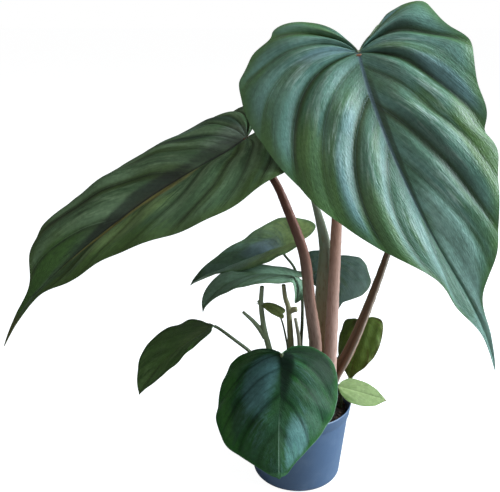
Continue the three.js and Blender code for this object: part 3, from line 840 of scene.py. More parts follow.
@dataclass
class Leaf:
    """A quilted heart-shaped blade that starts at its junction with the petiole."""

    name: str
    slot: str
    finish: BladeFinish
    underside: UndersideFinish
    junction: Point
    azimuth: float
    pitch: float
    roll: float
    length: float
    droop: float
    drip: float
    drip_droop: float
    lobe_droop: float
    right: Half
    left: Half
    quilt: float
    rib: float
    twist: float = 0.0
    sway: float = 0.0
    drip_sway: float = 0.0
    thick: float = 0.6
    scallop: float = 0.02
    panel_columns: int = 16
    rows: int = 28
    lumps: float = 0.5
    waves: float = 0.6
    groove_depth: float = 0.4
    valley: float = 0.0
    valley_width: float = 14.0
    rib_width: float = 1.6
    seed: int = 1
    centres: Array = field(init=False, repr=False)

    def __post_init__(self) -> None:
        """Lays out the midrib, which every point of the blade is placed from."""
        steps = np.linspace(0.0, 1.0, MIDRIB_STEPS + 1)
        tips, _, _ = self.frame_at(steps)
        strides = 0.5 * (tips[1:] + tips[:-1]) * (self.length / MIDRIB_STEPS)
        self.centres = np.array(self.junction) + np.vstack([np.zeros(3), np.cumsum(strides, axis=0)])

    def frame_at(self, along: Array, hang: float = 0.0) -> tuple[Array, Array, Array]:
        """Direction of the midrib, the blade's right side and its upper face.

        Args:
            along: Places along the midrib, with 0 at the junction and 1 at the tip.
            hang: How much more the lobe behind the junction hangs, in degrees.

        Returns:
            The three directions, each with a row for every place.
        """
        azimuth, pitch, roll = (math.radians(angle) for angle in (self.azimuth, self.pitch, self.roll))
        tip0 = np.array([
            math.cos(pitch) * math.cos(azimuth), math.cos(pitch) * math.sin(azimuth), math.sin(pitch)])
        level = unit(np.cross(tip0, [0.0, 0.0, 1.0]))
        right0 = level * math.cos(roll) + np.cross(level, tip0) * math.sin(roll)
        up0 = np.cross(right0, tip0)
        inside = np.clip(along, 0.0, 1.0)
        zone = DRIP_ZONE * self.drip / self.length
        in_drip = np.clip((inside - (1.0 - zone)) / zone, 0.0, 1.0) ** DRIP_POWER
        bend = math.radians(self.droop) * inside**DROOP_POWER + math.radians(self.drip_droop) * in_drip
        bend = np.where(along < 0.0, math.radians(self.lobe_droop + hang) * along / LOBE_REACH, bend)
        sway = math.radians(self.sway) * inside + math.radians(self.drip_sway) * in_drip
        twist = math.radians(self.twist) * inside
        bend, sway, twist = bend[:, None], sway[:, None], twist[:, None]
        forward = np.cos(bend) * tip0 - np.sin(bend) * up0
        tip = forward * np.cos(sway) + right0 * np.sin(sway)
        flat_right = right0 * np.cos(sway) - forward * np.sin(sway)
        right = flat_right * np.cos(twist) + np.cross(flat_right, tip) * np.sin(twist)
        return tip, right, np.cross(right, tip)

    def margin_at(self, side: Half, share: Array) -> Array:
        """Place of the margin, in half widths and lengths.

        Args:
            side: The half of the blade.
            share: Shares of the margin's length from the junction.

        Returns:
            Flat places, one row each.
        """
        lobe, wide, drip = side.lobe / self.length, side.wide / self.length, self.drip / self.length
        body = 1.0 - drip - wide
        full, late = side.full, side.late
        ease = side.ease * wide
        corners = np.array([
            (0.0, 0.0),
            (0.12, -0.55 * lobe + 0.04 * ease),
            (0.29, -0.88 * lobe + 0.12 * ease),
            (side.lobe_at, -lobe + 0.25 * ease),
            (0.82, -0.66 * lobe + 0.55 * ease),
            (0.965, min(-0.1 * lobe + 0.25 * wide, -0.3 * lobe + 0.55 * wide) + 0.5 * ease),
            (1.0, wide),
            (0.965 + 0.02 * full, wide + 0.2 * body),
            (0.83 + 0.06 * full - 0.01 * late, wide + 0.44 * body),
            (0.6 + 0.1 * full + 0.02 * late, wide + 0.67 * body),
            (0.3 + 0.08 * full + 0.08 * late, wide + 0.86 * body),
            (0.115, 1.0 - drip),
            (0.04, 1.0 - drip / 2.0),
            (0.0, 1.0),
        ])
        curve = spline_through(corners, MARGIN_STEPS // len(corners))
        steps = np.linalg.norm(np.diff(curve * [side.half, self.length], axis=0), axis=1)
        lengths = np.concatenate([[0.0], np.cumsum(steps)]) / steps.sum()
        edge = np.stack([np.interp(share, lengths, curve[:, axis]) for axis in (0, 1)], axis=-1)
        for place, width, change in side.nips:
            edge[:, 0] *= 1.0 + change * np.exp(-(((share - place) / width) ** 2))
        return edge

    def panels_at(self, side: Half, sigma: Array) -> tuple[Array, Array, Array]:
        """Where a grid line runs in its panel between two veins.

        Args:
            side: The half of the blade.
            sigma: Shares of the margin at which the grid lines end.

        Returns:
            The way across the panel, the panel's height and the nearness of a vein, from 0 to 1.
        """
        stops = np.array([0.0, *(place for place, _ in side.veins.value), 1.0])
        strengths = np.array([0.6, *(strength for _, strength in side.veins.value), 0.4])
        index = np.clip(np.searchsorted(stops, sigma, side="right") - 1, 0, len(stops) - 2)
        phase = np.clip((sigma - stops[index]) / (stops[index + 1] - stops[index]), 0.0, 1.0)
        change = strengths[index + 1] - strengths[index]
        strength = strengths[index] + change * smoothstep(0.35, 0.65, phase)
        height = 1.0 - (1.0 - np.sin(math.pi * phase) ** CREST_POWER) * strength
        near = np.minimum(phase, 1.0 - phase) * (stops[index + 1] - stops[index])
        return phase, height, strength * np.exp(-((near / VEIN_LINE) ** 2))

    def grid_lines(self, side: Half, share: Array) -> Array:
        """Spreads even shares into shares of the margin, with as many columns to each panel."""
        stops = np.array([0.0, *(place for place, _ in side.veins.value), 1.0])
        return np.interp(share, np.linspace(0.0, 1.0, len(stops)), stops)

    def bend_half(self, side: Half, sign: float, x: Array, y: Array) -> tuple[Array, Array]:
        """Bends flat places of one half into their place in the air.

        Args:
            side: The half of the blade.
            sign: 1 for the right half and -1 for the left one.
            x: Half widths out from the midrib.
            y: Lengths along it.

        Returns:
            The points, and the direction that the upper face has there.
        """
        _, right, up = self.frame_at(y, side.hang)
        inside = np.clip(y, 0.0, 1.0) * MIDRIB_STEPS
        steps = np.arange(MIDRIB_STEPS + 1)
        start = np.stack([np.interp(inside, steps, self.centres[:, axis]) for axis in range(3)], axis=-1)
        back = np.minimum(y, 0.0)
        start += self.frame_at(0.5 * back, side.hang)[0] * (back * self.length)[:, None]
        curl = math.radians(side.curl)
        fold = math.radians(side.fold) - math.radians(side.flap) * smoothstep(-0.05, 0.09, -y)
        out = (np.sin(fold) - np.sin(fold - curl * x)) / curl * side.half
        high = (np.cos(fold - curl * x) - np.cos(fold)) / curl * side.half
        slope = (fold - curl * x) * np.clip(x * side.half / RIDGE_WIDTH, 0.0, 1.0)
        normal = up * np.cos(slope)[:, None] - right * (sign * np.sin(slope))[:, None]
        return start + right * (sign * out)[:, None] + up * high[:, None], normal

    def layout(self, u: Array, v: Array) -> tuple[Array, dict[str, Array]]:
        """Lays the blade's grid: u goes round the margin, v from the right margin to the left.

        Args:
            u: Shares from the junction round to the tip.
            v: Shares across both halves, with the midrib at one half.

        Returns:
            Points in millimetres and the values that the finish reads.
        """
        across = 2.0 * v - 1.0
        t = np.abs(across) ** ROW_POWER
        lines = [self.grid_lines(side, u) for side in (self.right, self.left)]
        middle = 0.5 * (lines[0] + lines[1])
        points = np.zeros((len(u), 3))
        values = {name: np.zeros(len(u)) for name in ("map_u", "puff", "phase", "line", "along", "rib")}
        for side, sign, own in ((self.right, 1.0, lines[0]), (self.left, -1.0, lines[1])):
            here = across <= 0.0 if sign > 0 else across > 0.0
            out = t[here]
            sigma = middle[here] + (own[here] - middle[here]) * smoothstep(0.0, 0.12, out)
            swept = sigma - VEIN_SWEEP * sigma * (1.0 - sigma) * (1.0 - out**VEIN_SWEEP_POWER)
            along = np.clip((swept - BASAL_SHARE) / (1.0 - BASAL_SHARE), 0.0, 1.0) ** MIDRIB_POWER
            phase, puff, line = self.panels_at(side, sigma)
            edge = self.margin_at(side, swept)
            scallop = self.scallop * (puff - 0.6) * out * np.minimum(1.0, (1.0 - sigma) * 4.0)
            x = edge[:, 0] * out * (1.0 + scallop)
            y = along + (edge[:, 1] - along) * out
            bent, normal = self.bend_half(side, sign, x, y)
            lift = self.relief(sign, sigma, out, puff, x * side.half, y * self.length)
            points[here] = bent + normal * lift[:, None]
            width = self.rib_width * (1.15 - 0.8 * np.clip(y, 0.0, 1.0))
            found = (
                sigma, puff, phase, line * smoothstep(0.0, 0.05, out), y,
                np.exp(-((x * side.half / width) ** 2)))
            for name, value in zip(values, found):
                values[name][here] = value
        values["map_v"] = np.sign(across) * t
        return points, values

    def relief(self, sign: float, sigma: Array, t: Array, puff: Array, x: Array, y: Array) -> Array:
        """Height of the quilting, the midrib's groove, the lumps and the waves of the margin.

        Args:
            sign: 1 for the right half and -1 for the left one.
            sigma: Shares of the margin at which the grid lines end.
            t: The way out along the grid line.
            puff: The panels' height from 0 to 1.
            x: Millimetres out from the midrib.
            y: Millimetres along it.

        Returns:
            Heights in millimetres.
        """
        outer = np.clip((t - 0.6) / 0.4, 0.0, 1.0)
        grown = smoothstep(-0.06, 0.34, t) * (1.0 - 0.7 * outer)
        fade = np.minimum(1.0, np.minimum((1.0 - sigma) * 3.5, sigma * 6.0))
        height = self.quilt * (puff - LEVEL_HEIGHT) * grown * fade
        lumps = Ripple(self.seed, LUMP_LENGTH * self.length).at(sign * x, y)
        height += self.lumps * lumps * smoothstep(0.05, 0.4, t) * fade
        waves = Ripple(self.seed + 7, WAVE_LENGTH, 5).at(sigma, 0.4 * sign * np.ones_like(sigma))
        height += self.waves * waves * smoothstep(0.6, 1.0, t) * fade
        along = y / self.length
        sunk = smoothstep(-0.02, 0.1, along) * (1.0 - smoothstep(0.45, 0.95, along))
        height -= self.valley * np.exp(-((x / self.valley_width) ** 2)) * sunk
        height -= self.groove_depth * np.exp(-((x / self.rib_width) ** 2)) * smoothstep(0.0, 0.1, along)
        return height

    def build(self) -> Object:
        """Builds the blade with its thickness and the midrib that stands out below, and dresses it.

        Returns:
            The blade.
        """
        columns = self.panel_columns * (len(self.right.veins.value) + 1)
        blade = lay_sheet(f"{self.name}_blade", columns, 2 * self.rows, self.layout)
        for _ in range(2):
            blade.data.materials.append(None)
        upper = len(blade.data.vertices)
        apply_modifier(
            blade, "SOLIDIFY", thickness=self.thick * MM, offset=-1.0, material_offset=1,
            material_offset_rim=0)
        points = points_of(blade)
        normals = np.empty(len(points) * 3, dtype=np.float32)
        blade.data.vertices.foreach_get("normal", normals)
        normals = normals.reshape(-1, 3)
        along, rib, puff = (attribute_of(blade, name) for name in ("along", "rib", "puff"))
        grown = np.clip(along / RIB_GROWTH, 0.0, 1.0) ** 1.5 * np.clip(1.0 - along, 0.0, 1.0) ** 0.7
        vein = np.clip(1.0 - puff / 0.3, 0.0, 1.0) * (1.0 - rib) * VEIN_SHARE
        depth = (self.rib * rib + vein * self.thick) * grown * MM
        below = np.arange(len(points)) >= upper
        points[below] += normals[below] * depth[below, None]
        place_points(blade, points)
        smooth_by(blade, 50.0)
        return settle(blade, self.name, self.slot, self.finish.material(), self.underside.material())


# Level of the mix, height of its lumps and how deep the stems stand in it, in millimetres
SOIL_LEVEL = 82.0
SOIL_LUMP = 1.6
STEM_DEPTH = 16.0
# Rounding of a stem's ends: their reach and the size of their ring, in radii
END_ROUND = 0.25
END_RING = 0.8
FRONT = np.array([0.0, -1.0, 0.0])


class StemForm(Enum):
    """Shape of a stem's cross-section."""

    GROOVED = "grooved along the front"
    SHEATHED = "open channel with a broad rim on one side"
    ROLLED = "rolled leaf with its edge winding round"


@dataclass(frozen=True)
class StemFinish:
    """Colours, gloss and grain of a petiole or stub, from its foot to its top, and its material slot."""

    name: str
    slot: str
    foot: Colour
    top: Colour
    streak: Colour
    groove: Colour
    lit: Colour
    roughness: float = 0.45
    lit_share: float = 0.5
    streaks: float = 26.0
    streak_length: float = 9.0
    streak_depth: float = 0.0005
    pore_scale: float = 420.0
    grain_scale: float = 900.0
    grain_depth: float = 0.00015

    def material(self) -> Material:
        """Makes the stem's skin with fine lines along it and small pale pores.

        Returns:
            The material.
        """
        graph = Graph(self.name)
        lines = graph.stretched(*graph.surface_map(), self.streaks, self.streak_length)
        streaks = graph.noise(lines, 1.0, 3.0, 0.6)
        colour = graph.mix(graph.rise(graph.attribute("share"), 0.2, 0.8), self.foot, self.top)
        colour = graph.mix(graph.times(graph.attribute("side"), self.lit_share), colour, self.lit)
        colour = graph.mix(graph.rise(streaks, 0.5, 0.72, 0.0, 0.6), colour, self.streak)
        # The groove colour; in the sheathed petiole's channel it is partly painted shade.
        colour = graph.mix(graph.attribute("groove"), colour, self.groove)
        pores = graph.cells(graph.place(), self.pore_scale)
        graph.set("Base Color", graph.mix(graph.rise(pores, 0.06, 0.16, 0.22, 0.0), colour, self.lit))
        graph.set("Roughness", graph.rise(streaks, 0.3, 0.7, self.roughness - 0.06, self.roughness + 0.1))
        graph.set("Specular IOR Level", 0.3)
        grain = graph.relief(graph.noise(graph.place(), self.grain_scale, 2.0), self.grain_depth)
        graph.set("Normal", graph.relief(streaks, self.streak_depth, grain))
        return graph.material


@dataclass(frozen=True)
class StemPath:
    """A smooth centripetal curve through the points of a stem's middle, in millimetres."""

    points: tuple[Point, ...]

    def spread(self, count: int) -> tuple[Array, Array, float]:
        """Spreads places evenly along the curve.

        Args:
            count: How many places.

        Returns:
            The places, the directions there and the curve's length.
        """
        corners = np.array(self.points, dtype=float)
        padded = np.vstack([2 * corners[0] - corners[1], corners, 2 * corners[-1] - corners[-2]])
        shares = np.linspace(0.0, 1.0, 40, endpoint=False)[:, None]
        pieces = []
        for before, here, after, beyond in zip(padded, padded[1:], padded[2:], padded[3:]):
            gaps = [max(np.linalg.norm(b - a) ** 0.5, 1e-4) for a, b in
                    ((before, here), (here, after), (after, beyond))]
            first, gap, last = gaps
            leave = gap * (
                (here - before) / first - (after - before) / (first + gap) + (after - here) / gap)
            arrive = gap * (
                (after - here) / gap - (beyond - here) / (gap + last) + (beyond - after) / last)
            pieces.append(hermite(here, after, leave, arrive, shares))
        curve = np.vstack([*pieces, corners[-1:]])
        steps = np.linalg.norm(np.diff(curve, axis=0), axis=1)
        lengths = np.concatenate([[0.0], np.cumsum(steps)])
        want = np.linspace(0.0, lengths[-1], count)
        places = np.stack([np.interp(want, lengths, curve[:, axis]) for axis in range(3)], axis=-1)
        return places, unit(np.gradient(places, axis=0)), float(lengths[-1])


@dataclass
class Stem:
    """A tapering stem on a smooth path, with rounded ends and the section of its form."""

    name: str
    finish: StemFinish
    base: float
    tip: float
    path: StemPath
    form: StemForm = StemForm.GROOVED
    channel: float = 0.0
    taper: float = 1.0
    foot: float = 1.0
    knee: float = 0.0
    turn: float = 0.0
    sides: int = 32
    steps: int = 110
    seed: int = 1

    def section(self, angle: Array, share: Array) -> tuple[Array, Array, Array]:
        """Shape of the stem's skin round its middle.

        Args:
            angle: Angles round the stem from the side that faces the front.
            share: Shares of the stem's length from the foot.

        Returns:
            Reach in radii, how far a place is in the groove, and how far it is on the lit side.
        """
        facing = angle - math.radians(self.turn)
        towards = np.maximum(0.0, np.cos(facing))
        side = smoothstep(0.1, 0.95, np.sin(angle))
        if self.form is StemForm.ROLLED:
            winding = np.mod((facing / math.tau) - 0.55 * share, 1.0)
            step = 0.16 * (1.0 - smoothstep(0.0, 0.06, winding))
            return 0.9 + 0.14 * (1.0 - winding) - step, np.exp(-((winding / 0.05) ** 2)), side
        if self.form is StemForm.SHEATHED:
            open_share = 1.0 - 0.55 * smoothstep(0.35, 0.8, share)
            # The channel's hollow takes the groove colour: its own darker colour, with painted shade in the
            # channel.
            hollow = np.exp(-((np.arctan2(np.sin(facing), np.cos(facing)) / 0.62) ** 2))
            rim = np.exp(-((np.arctan2(np.sin(facing - 1.0), np.cos(facing - 1.0)) / 0.3) ** 2))
            reach = 1.0 - 0.75 * self.channel * hollow * open_share + 0.22 * rim * open_share
            return reach, hollow**0.7, rim * open_share
        return 1.0 - self.channel * towards**3, towards**6 * min(1.0, 2.5 * self.channel), side

    def layout(self, u: Array, v: Array) -> tuple[Array, dict[str, Array]]:
        """Lays the stem's skin: u goes round it and v from the foot to the top.

        Args:
            u: Shares round the stem.
            v: Shares along it, with the first and last rows drawn in to close the ends.

        Returns:
            Points in millimetres and the values that the finish reads.
        """
        rows = self.steps + 4
        row = np.rint(v * rows).astype(int)
        share = np.clip((row - 2) / self.steps, 0.0, 1.0)
        closing = np.array([0.0, END_RING] + [1.0] * (self.steps + 1) + [END_RING, 0.0])[row]
        places, tangents, length = self.path.spread(self.steps + 1)
        index = np.rint(share * self.steps).astype(int)
        centre, along = places[index], tangents[index]
        side = unit(np.cross(along, FRONT))
        face = np.cross(side, along)
        angle = math.tau * u
        bulge = self.foot + (1.0 - self.foot) * smoothstep(0.05, 0.25, share)
        bulge += self.knee * np.exp(-(((1.0 - share) * length / (3.2 * self.tip) - 1.2) ** 2))
        bulge += 0.03 * Ripple(self.seed, 0.3).at(share * length / 40.0, np.cos(angle) * 0.2)
        radius = (self.base + (self.tip - self.base) * share**self.taper) * bulge * closing
        reach, groove, lit = self.section(angle, share)
        outward = face * np.cos(angle)[:, None] + side * np.sin(angle)[:, None]
        points = centre + outward * (radius * reach)[:, None]
        ends = np.where(row < 2, -1.0, np.where(row > self.steps + 2, 1.0, 0.0))
        points += along * (ends * END_ROUND * radius.clip(0.3) * (1.0 - closing))[:, None]
        values = {"map_u": u, "map_v": share * length / 100.0, "groove": groove, "side": lit, "share": share}
        return points, values

    def mesh(self) -> Object:
        """Builds the bare stem.

        Returns:
            The stem.
        """
        stem = lay_sheet(f"{self.name}_stem", self.sides, self.steps + 4, self.layout)
        smooth_by(stem, 55.0)
        return stem

    def build(self) -> Object:
        """Builds and dresses the stem."""
        return settle(self.mesh(), self.name, self.finish.slot, self.finish.material())


def footed(*path: Sequence[float]) -> tuple[Point, ...]:
    """Stands a path upright in the soil.

    Args:
        *path: The place of the foot, and then the points of the path.

    Returns:
        All points of the path.
    """
    x, y = path[0]
    foot = SOIL_LEVEL - STEM_DEPTH
    upright = [foot, foot + 0.75 * STEM_DEPTH, SOIL_LEVEL + 2 * SOIL_LUMP]
    return tuple([(x, y, z) for z in upright] + [tuple(point) for point in path[1:]])


def up_to_blade(
    leaf: Leaf, tip: float, drop: float, arrival: Pair, *path: Sequence[float],
) -> StemPath:
    """Brings a petiole up to the underside of its blade.

    Args:
        leaf: The leaf that it carries.
        tip: Radius of the petiole at the blade.
        drop: How much lower than usual it meets the blade.
        arrival: How far it heads up and along the midrib where it meets the blade.
        *path: The place of the foot, and then the points of the path.

    Returns:
        The whole path of the petiole.
    """
    tips, _, ups = leaf.frame_at(np.zeros(1))
    up, forward = ups[0], tips[0]
    arrive = unit(arrival[0] * up + arrival[1] * forward)
    seat = np.array(leaf.junction) - up * (leaf.thick / 2 + 0.15 * tip + drop)
    neck = seat - arrive * tip * 3.2
    return StemPath(footed(*path) + (tuple(neck), tuple(seat)))


@dataclass
class Stub:
    """A cut stub of an old leaf, with side shoots as (base, tip, path) grown into it."""

    name: str
    finish: StemFinish
    base: float
    tip: float
    path: tuple[Point, ...]
    branches: tuple[tuple[float, float, tuple[Point, ...]], ...] = ()
    voxel: float = 0.55

    def build(self) -> Object:
        """Builds the stub from its stem and shoots, grown together, and dresses it.

        Returns:
            The stub.
        """
        parts = [Stem(self.name, self.finish, self.base, self.tip, StemPath(self.path)).mesh()]
        for index, (base, tip, path) in enumerate(self.branches):
            name = f"{self.name}_shoot{index}"
            parts.append(Stem(name, self.finish, base, tip, StemPath(path), steps=30).mesh())
        stub = merge_pieces(f"{self.name}_stem", parts)
        apply_modifier(stub, "REMESH", mode="VOXEL", voxel_size=self.voxel * MM)
        apply_modifier(stub, "SMOOTH", factor=0.5, iterations=3)
        smooth_by(stub, 60.0)
        return settle(stub, self.name, self.finish.slot, self.finish.material())


@dataclass(frozen=True)
class PotFinish:
    """Satin blue-grey plastic with the faint orange skin of a moulded pot."""

    name: str
    body: Colour
    scuff: Colour
    roughness: float = 0.42
    dust_scale: float = 38.0
    worn_height: float = 0.006

    def material(self) -> Material:
        """Makes the plastic, with dust on it and a worn foot.

        Returns:
            The material.
        """
        graph = Graph(self.name)
        dust = graph.noise(graph.place(), self.dust_scale, 4.0, 0.6)
        colour = graph.mix(graph.rise(dust, 0.45, 0.75, 0.0, 0.35), self.body, self.scuff)
        worn = graph.rise(graph.height(), 0.0, self.worn_height, 0.5, 0.0)
        graph.set("Base Color", graph.mix(worn, colour, self.scuff))
        graph.set("Roughness", graph.rise(dust, 0.3, 0.7, self.roughness - 0.05, self.roughness + 0.12))
        skin = graph.relief(graph.noise(graph.place(), 1300.0, 2.0), 0.00006)
        graph.set("Normal", graph.relief(graph.noise(graph.place(), 60.0, 2.0), 0.0003, skin))
        return graph.material


@dataclass
class Pot:
    """A tapered nursery pot with a rim band, a rounded heel and drainage holes."""

    finish: PotFinish
    height: float = 90.0
    rim_radius: float = 60.0
    band_height: float = 12.0
    band_step: float = 1.5
    band_ledge: float = 0.8
    rim_round: float = 0.8
    base_radius: float = 49.0
    flat_radius: float = 44.5
    heel_height: float = 6.0
    wall: float = 1.6
    floor: float = 2.2
    sides: int = 128
    holes: int = 6
    hole_radius: float = 4.0
    hole_circle: float = 32.0

    def wall_radius(self, z: float) -> float:
        """Outer radius of the tapered wall at a height."""
        foot = self.height - self.band_height
        return self.base_radius + (self.rim_radius - 2 * self.band_step - self.base_radius) * z / foot

    def heel(self, flat: float, wall: float, bottom: float, steps: int = 7) -> list[tuple[float, float]]:
        """Rounds the corner between the flat of the base and the wall.

        Args:
            flat: Radius of the flat.
            wall: Radius of the wall above the heel.
            bottom: Height of the flat.
            steps: Rings of the round.

        Returns:
            Radius and height of each ring.
        """
        angles = [0.5 * math.pi * step / steps for step in range(steps + 1)]
        return [
            (flat + (wall - flat) * math.sin(angle), bottom + self.heel_height * (1 - math.cos(angle)))
            for angle in angles]

    def profile(self) -> list[tuple[float, float]]:
        """Lists the rings up the outside, over the rim and down the inside.

        Returns:
            Radius and height of each ring, in millimetres.
        """
        foot = self.height - self.band_height
        top = self.wall_radius(foot)
        rim, band = self.rim_radius, self.rim_radius - self.band_step
        edge, shoulder = rim - self.rim_round, self.height - self.rim_round
        inner = self.heel(
            self.flat_radius - self.wall, self.wall_radius(self.heel_height + self.floor) - self.wall,
            self.floor)
        return [
            *self.heel(self.flat_radius, self.wall_radius(self.heel_height), 0.0),
            (top - 0.02, foot - self.band_ledge - 0.6), (top, foot - self.band_ledge),
            (band - 0.3, foot - 0.1), (band, foot + 0.4),
            (rim - 0.15, shoulder - 0.6), (rim, shoulder),
            (edge + 0.5, self.height - 0.25), (edge, self.height), (edge - 0.5, self.height - 0.25),
            (rim - self.wall, shoulder), (top - self.wall, foot - 2 * self.wall), *reversed(inner)]

    def build(self) -> Object:
        """Turns the pot ring by ring, drills its drainage holes and dresses it.

        Returns:
            The pot.
        """
        rings = self.profile()
        pot = lay_disc("pot_shell", self.sides, *rings[0])
        with editing(pot):
            for (before, low), (after, high) in zip(rings, rings[1:]):
                draw_up(high - low, after / before)
            bpy.ops.mesh.select_all(action="SELECT")
            bpy.ops.mesh.remove_doubles(threshold=WELD_DISTANCE)
            bpy.ops.mesh.normals_make_consistent(inside=False)
        for index in range(self.holes):
            self.drill(pot, math.tau * (index + 0.5) / self.holes)
        smooth_by(pot, 40.0)
        return settle(pot, "pot", "pot_plastic", self.finish.material())

    def drill(self, pot: Object, angle: float) -> None:
        """Drills one drainage hole through the floor.

        Args:
            pot: The pot.
            angle: Where on the circle of holes.
        """
        place = (self.hole_circle * math.cos(angle) * MM, self.hole_circle * math.sin(angle) * MM, 0.0)
        deselect_all()
        bpy.ops.mesh.primitive_cylinder_add(
            vertices=24, radius=self.hole_radius * MM, depth=6 * self.floor * MM, location=place)
        cutter = bpy.context.active_object
        bpy.ops.object.transform_apply(location=True, rotation=True, scale=True)
        apply_modifier(pot, "BOOLEAN", operation="DIFFERENCE", object=cutter, solver="EXACT")
        bpy.data.objects.remove(cutter)


@dataclass(frozen=True)
class SoilFinish:
    """Dark damp potting mix."""

    name: str
    dark: Colour
    pale: Colour
    grain: float = 320.0

    def material(self) -> Material:
        """Makes the crumbly mix.

        Returns:
            The material.
        """
        graph = Graph(self.name)
        crumbs = graph.noise(graph.place(), self.grain, 4.0, 0.65)
        lumps = graph.cells(graph.place(), 0.6 * self.grain)
        colour = graph.mix(graph.rise(crumbs, 0.4, 0.72), self.dark, self.pale)
        graph.set("Base Color", colour)
        graph.set("Roughness", graph.rise(lumps, 0.1, 0.6, 0.75, 0.95))
        graph.set("Normal", graph.relief(crumbs, 0.0012, graph.relief(lumps, 0.0014)))
        return graph.material


class Chip(Enum):
    """Kinds of loose pieces on the mix, with their length, width and height."""

    BARK = (6.0, 3.4, 1.3)
    CRUMB = (2.6, 2.2, 1.7)
    FIBRE = (9.0, 0.7, 0.6)


@dataclass
class Soil:
    """Potting mix that fills the pot, with bark and fibre lying on it.

    The feet are (x, y, radius) of the stems, and no loose piece lies nearer to one than the clearance.
    """

    finish: SoilFinish
    bark: SoilFinish
    feet: tuple[Point, ...]
    radius: float = 54.0
    foot_radius: float = 47.5
    bottom: float = 8.0
    collar: float = 3.0
    rings: int = 34
    sides: int = 96
    chips: int = 420
    chip_reach: float = 50.5
    chip_square: float = 52.0
    clearance: float = 2.6
    seed: int = 5

    def lump_at(self, x: Array, y: Array) -> Array:
        """Height of the lumps above the level of the mix, as in the CAD, with finer ones on it.

        Args:
            x: First coordinate in millimetres.
            y: Second coordinate.

        Returns:
            The height at each place.
        """
        coarse = np.sin(x * 0.21 + 1.3) * np.cos(y * 0.24 - 0.6)
        fine = np.sin(x * 0.53 - y * 0.31 + 2.1) * np.sin(y * 0.47 + x * 0.12)
        crumbs = Ripple(self.seed, 5.0, 9).at(x, y) * 0.35 + Ripple(self.seed + 1, 2.4, 9).at(x, y) * 0.22
        return SOIL_LUMP * (0.6 * coarse + 0.4 * fine) + crumbs

    def build(self) -> list[Object]:
        """Builds the mix and its bark, and dresses both.

        Returns:
            The mix and the loose pieces.
        """
        soil = lay_disc("potting_mix", self.sides, self.foot_radius, self.bottom)
        with editing(soil):
            draw_up(SOIL_LEVEL - self.collar - self.bottom, self.radius / self.foot_radius)
            draw_up(self.collar)
            for _ in range(self.rings):
                bpy.ops.mesh.inset(thickness=self.radius / (self.rings + 0.6) * MM, depth=0.0)
            bpy.ops.mesh.select_all(action="SELECT")
            bpy.ops.mesh.normals_make_consistent(inside=False)
        points = points_of(soil)
        top = points[:, 2] > (SOIL_LEVEL - 0.5) * MM
        points[top, 2] += self.lump_at(points[top, 0] / MM, points[top, 1] / MM) * MM
        place_points(soil, points)
        smooth_by(soil, 60.0)
        settle(soil, "soil", "potting_mix", self.finish.material())
        return [soil, self.scatter()]

    def model(self, kind: Chip) -> Object:
        """Models one uneven piece, lying flat round the origin.

        Args:
            kind: What it is a piece of. A fibre is bent as well.

        Returns:
            The piece.
        """
        deselect_all()
        bpy.ops.mesh.primitive_cube_add(size=1.0)
        chip = bpy.context.active_object
        with editing(chip):
            bpy.ops.mesh.subdivide(number_cuts=2, smoothness=0.8)
        points = points_of(chip)
        draw = random.Random(self.seed + list(Chip).index(kind))
        for index in range(len(points)):
            points[index] *= draw.uniform(0.78, 1.12)
        if kind is Chip.FIBRE:
            points[:, 1] += 1.6 * points[:, 0] ** 2
        place_points(chip, points * np.array(kind.value) * MM)
        return chip

    def scatter(self) -> Object:
        """Copies the chips over the mix, clear of the stems' feet.

        Returns:
            All the chips as one piece.
        """
        models = [self.model(kind) for kind in Chip]
        draw = random.Random(self.seed)
        square = self.chip_square
        copies = []
        while len(copies) < self.chips:
            x, y = draw.uniform(-square, square), draw.uniform(-square, square)
            if math.hypot(x, y) > self.chip_reach:
                continue
            if any(math.hypot(x - fx, y - fy) < radius + self.clearance for fx, fy, radius in self.feet):
                continue
            model = draw.choices(models, (5, 4, 1))[0]
            copy = model.copy()
            copy.data = model.data.copy()
            z = SOIL_LEVEL + float(self.lump_at(np.array([x]), np.array([y]))[0]) + 0.25
            turn = Matrix.Rotation(draw.uniform(0.0, math.tau), 4, "Z")
            lean = Matrix.Rotation(draw.uniform(-0.35, 0.35), 4, "X")
            size = Matrix.Scale(draw.uniform(0.5, 1.15), 4)
            copy.data.transform(Matrix.Translation(Vector((x, y, z)) * MM) @ turn @ lean @ size)
            bpy.context.scene.collection.objects.link(copy)
            copies.append(copy)
        chips = merge_pieces("bark_chips", copies)
        for model in models:
            bpy.data.objects.remove(model)
        smooth_by(chips, 35.0)
        return settle(chips, "soil", "potting_mix", self.bark.material())


@dataclass(frozen=True)
class Lamp:
    """A soft square light: where it hangs and its side in metres, its watts and its colour."""

    name: str
    place: Point
    size: float
    power: float
    colour: Point


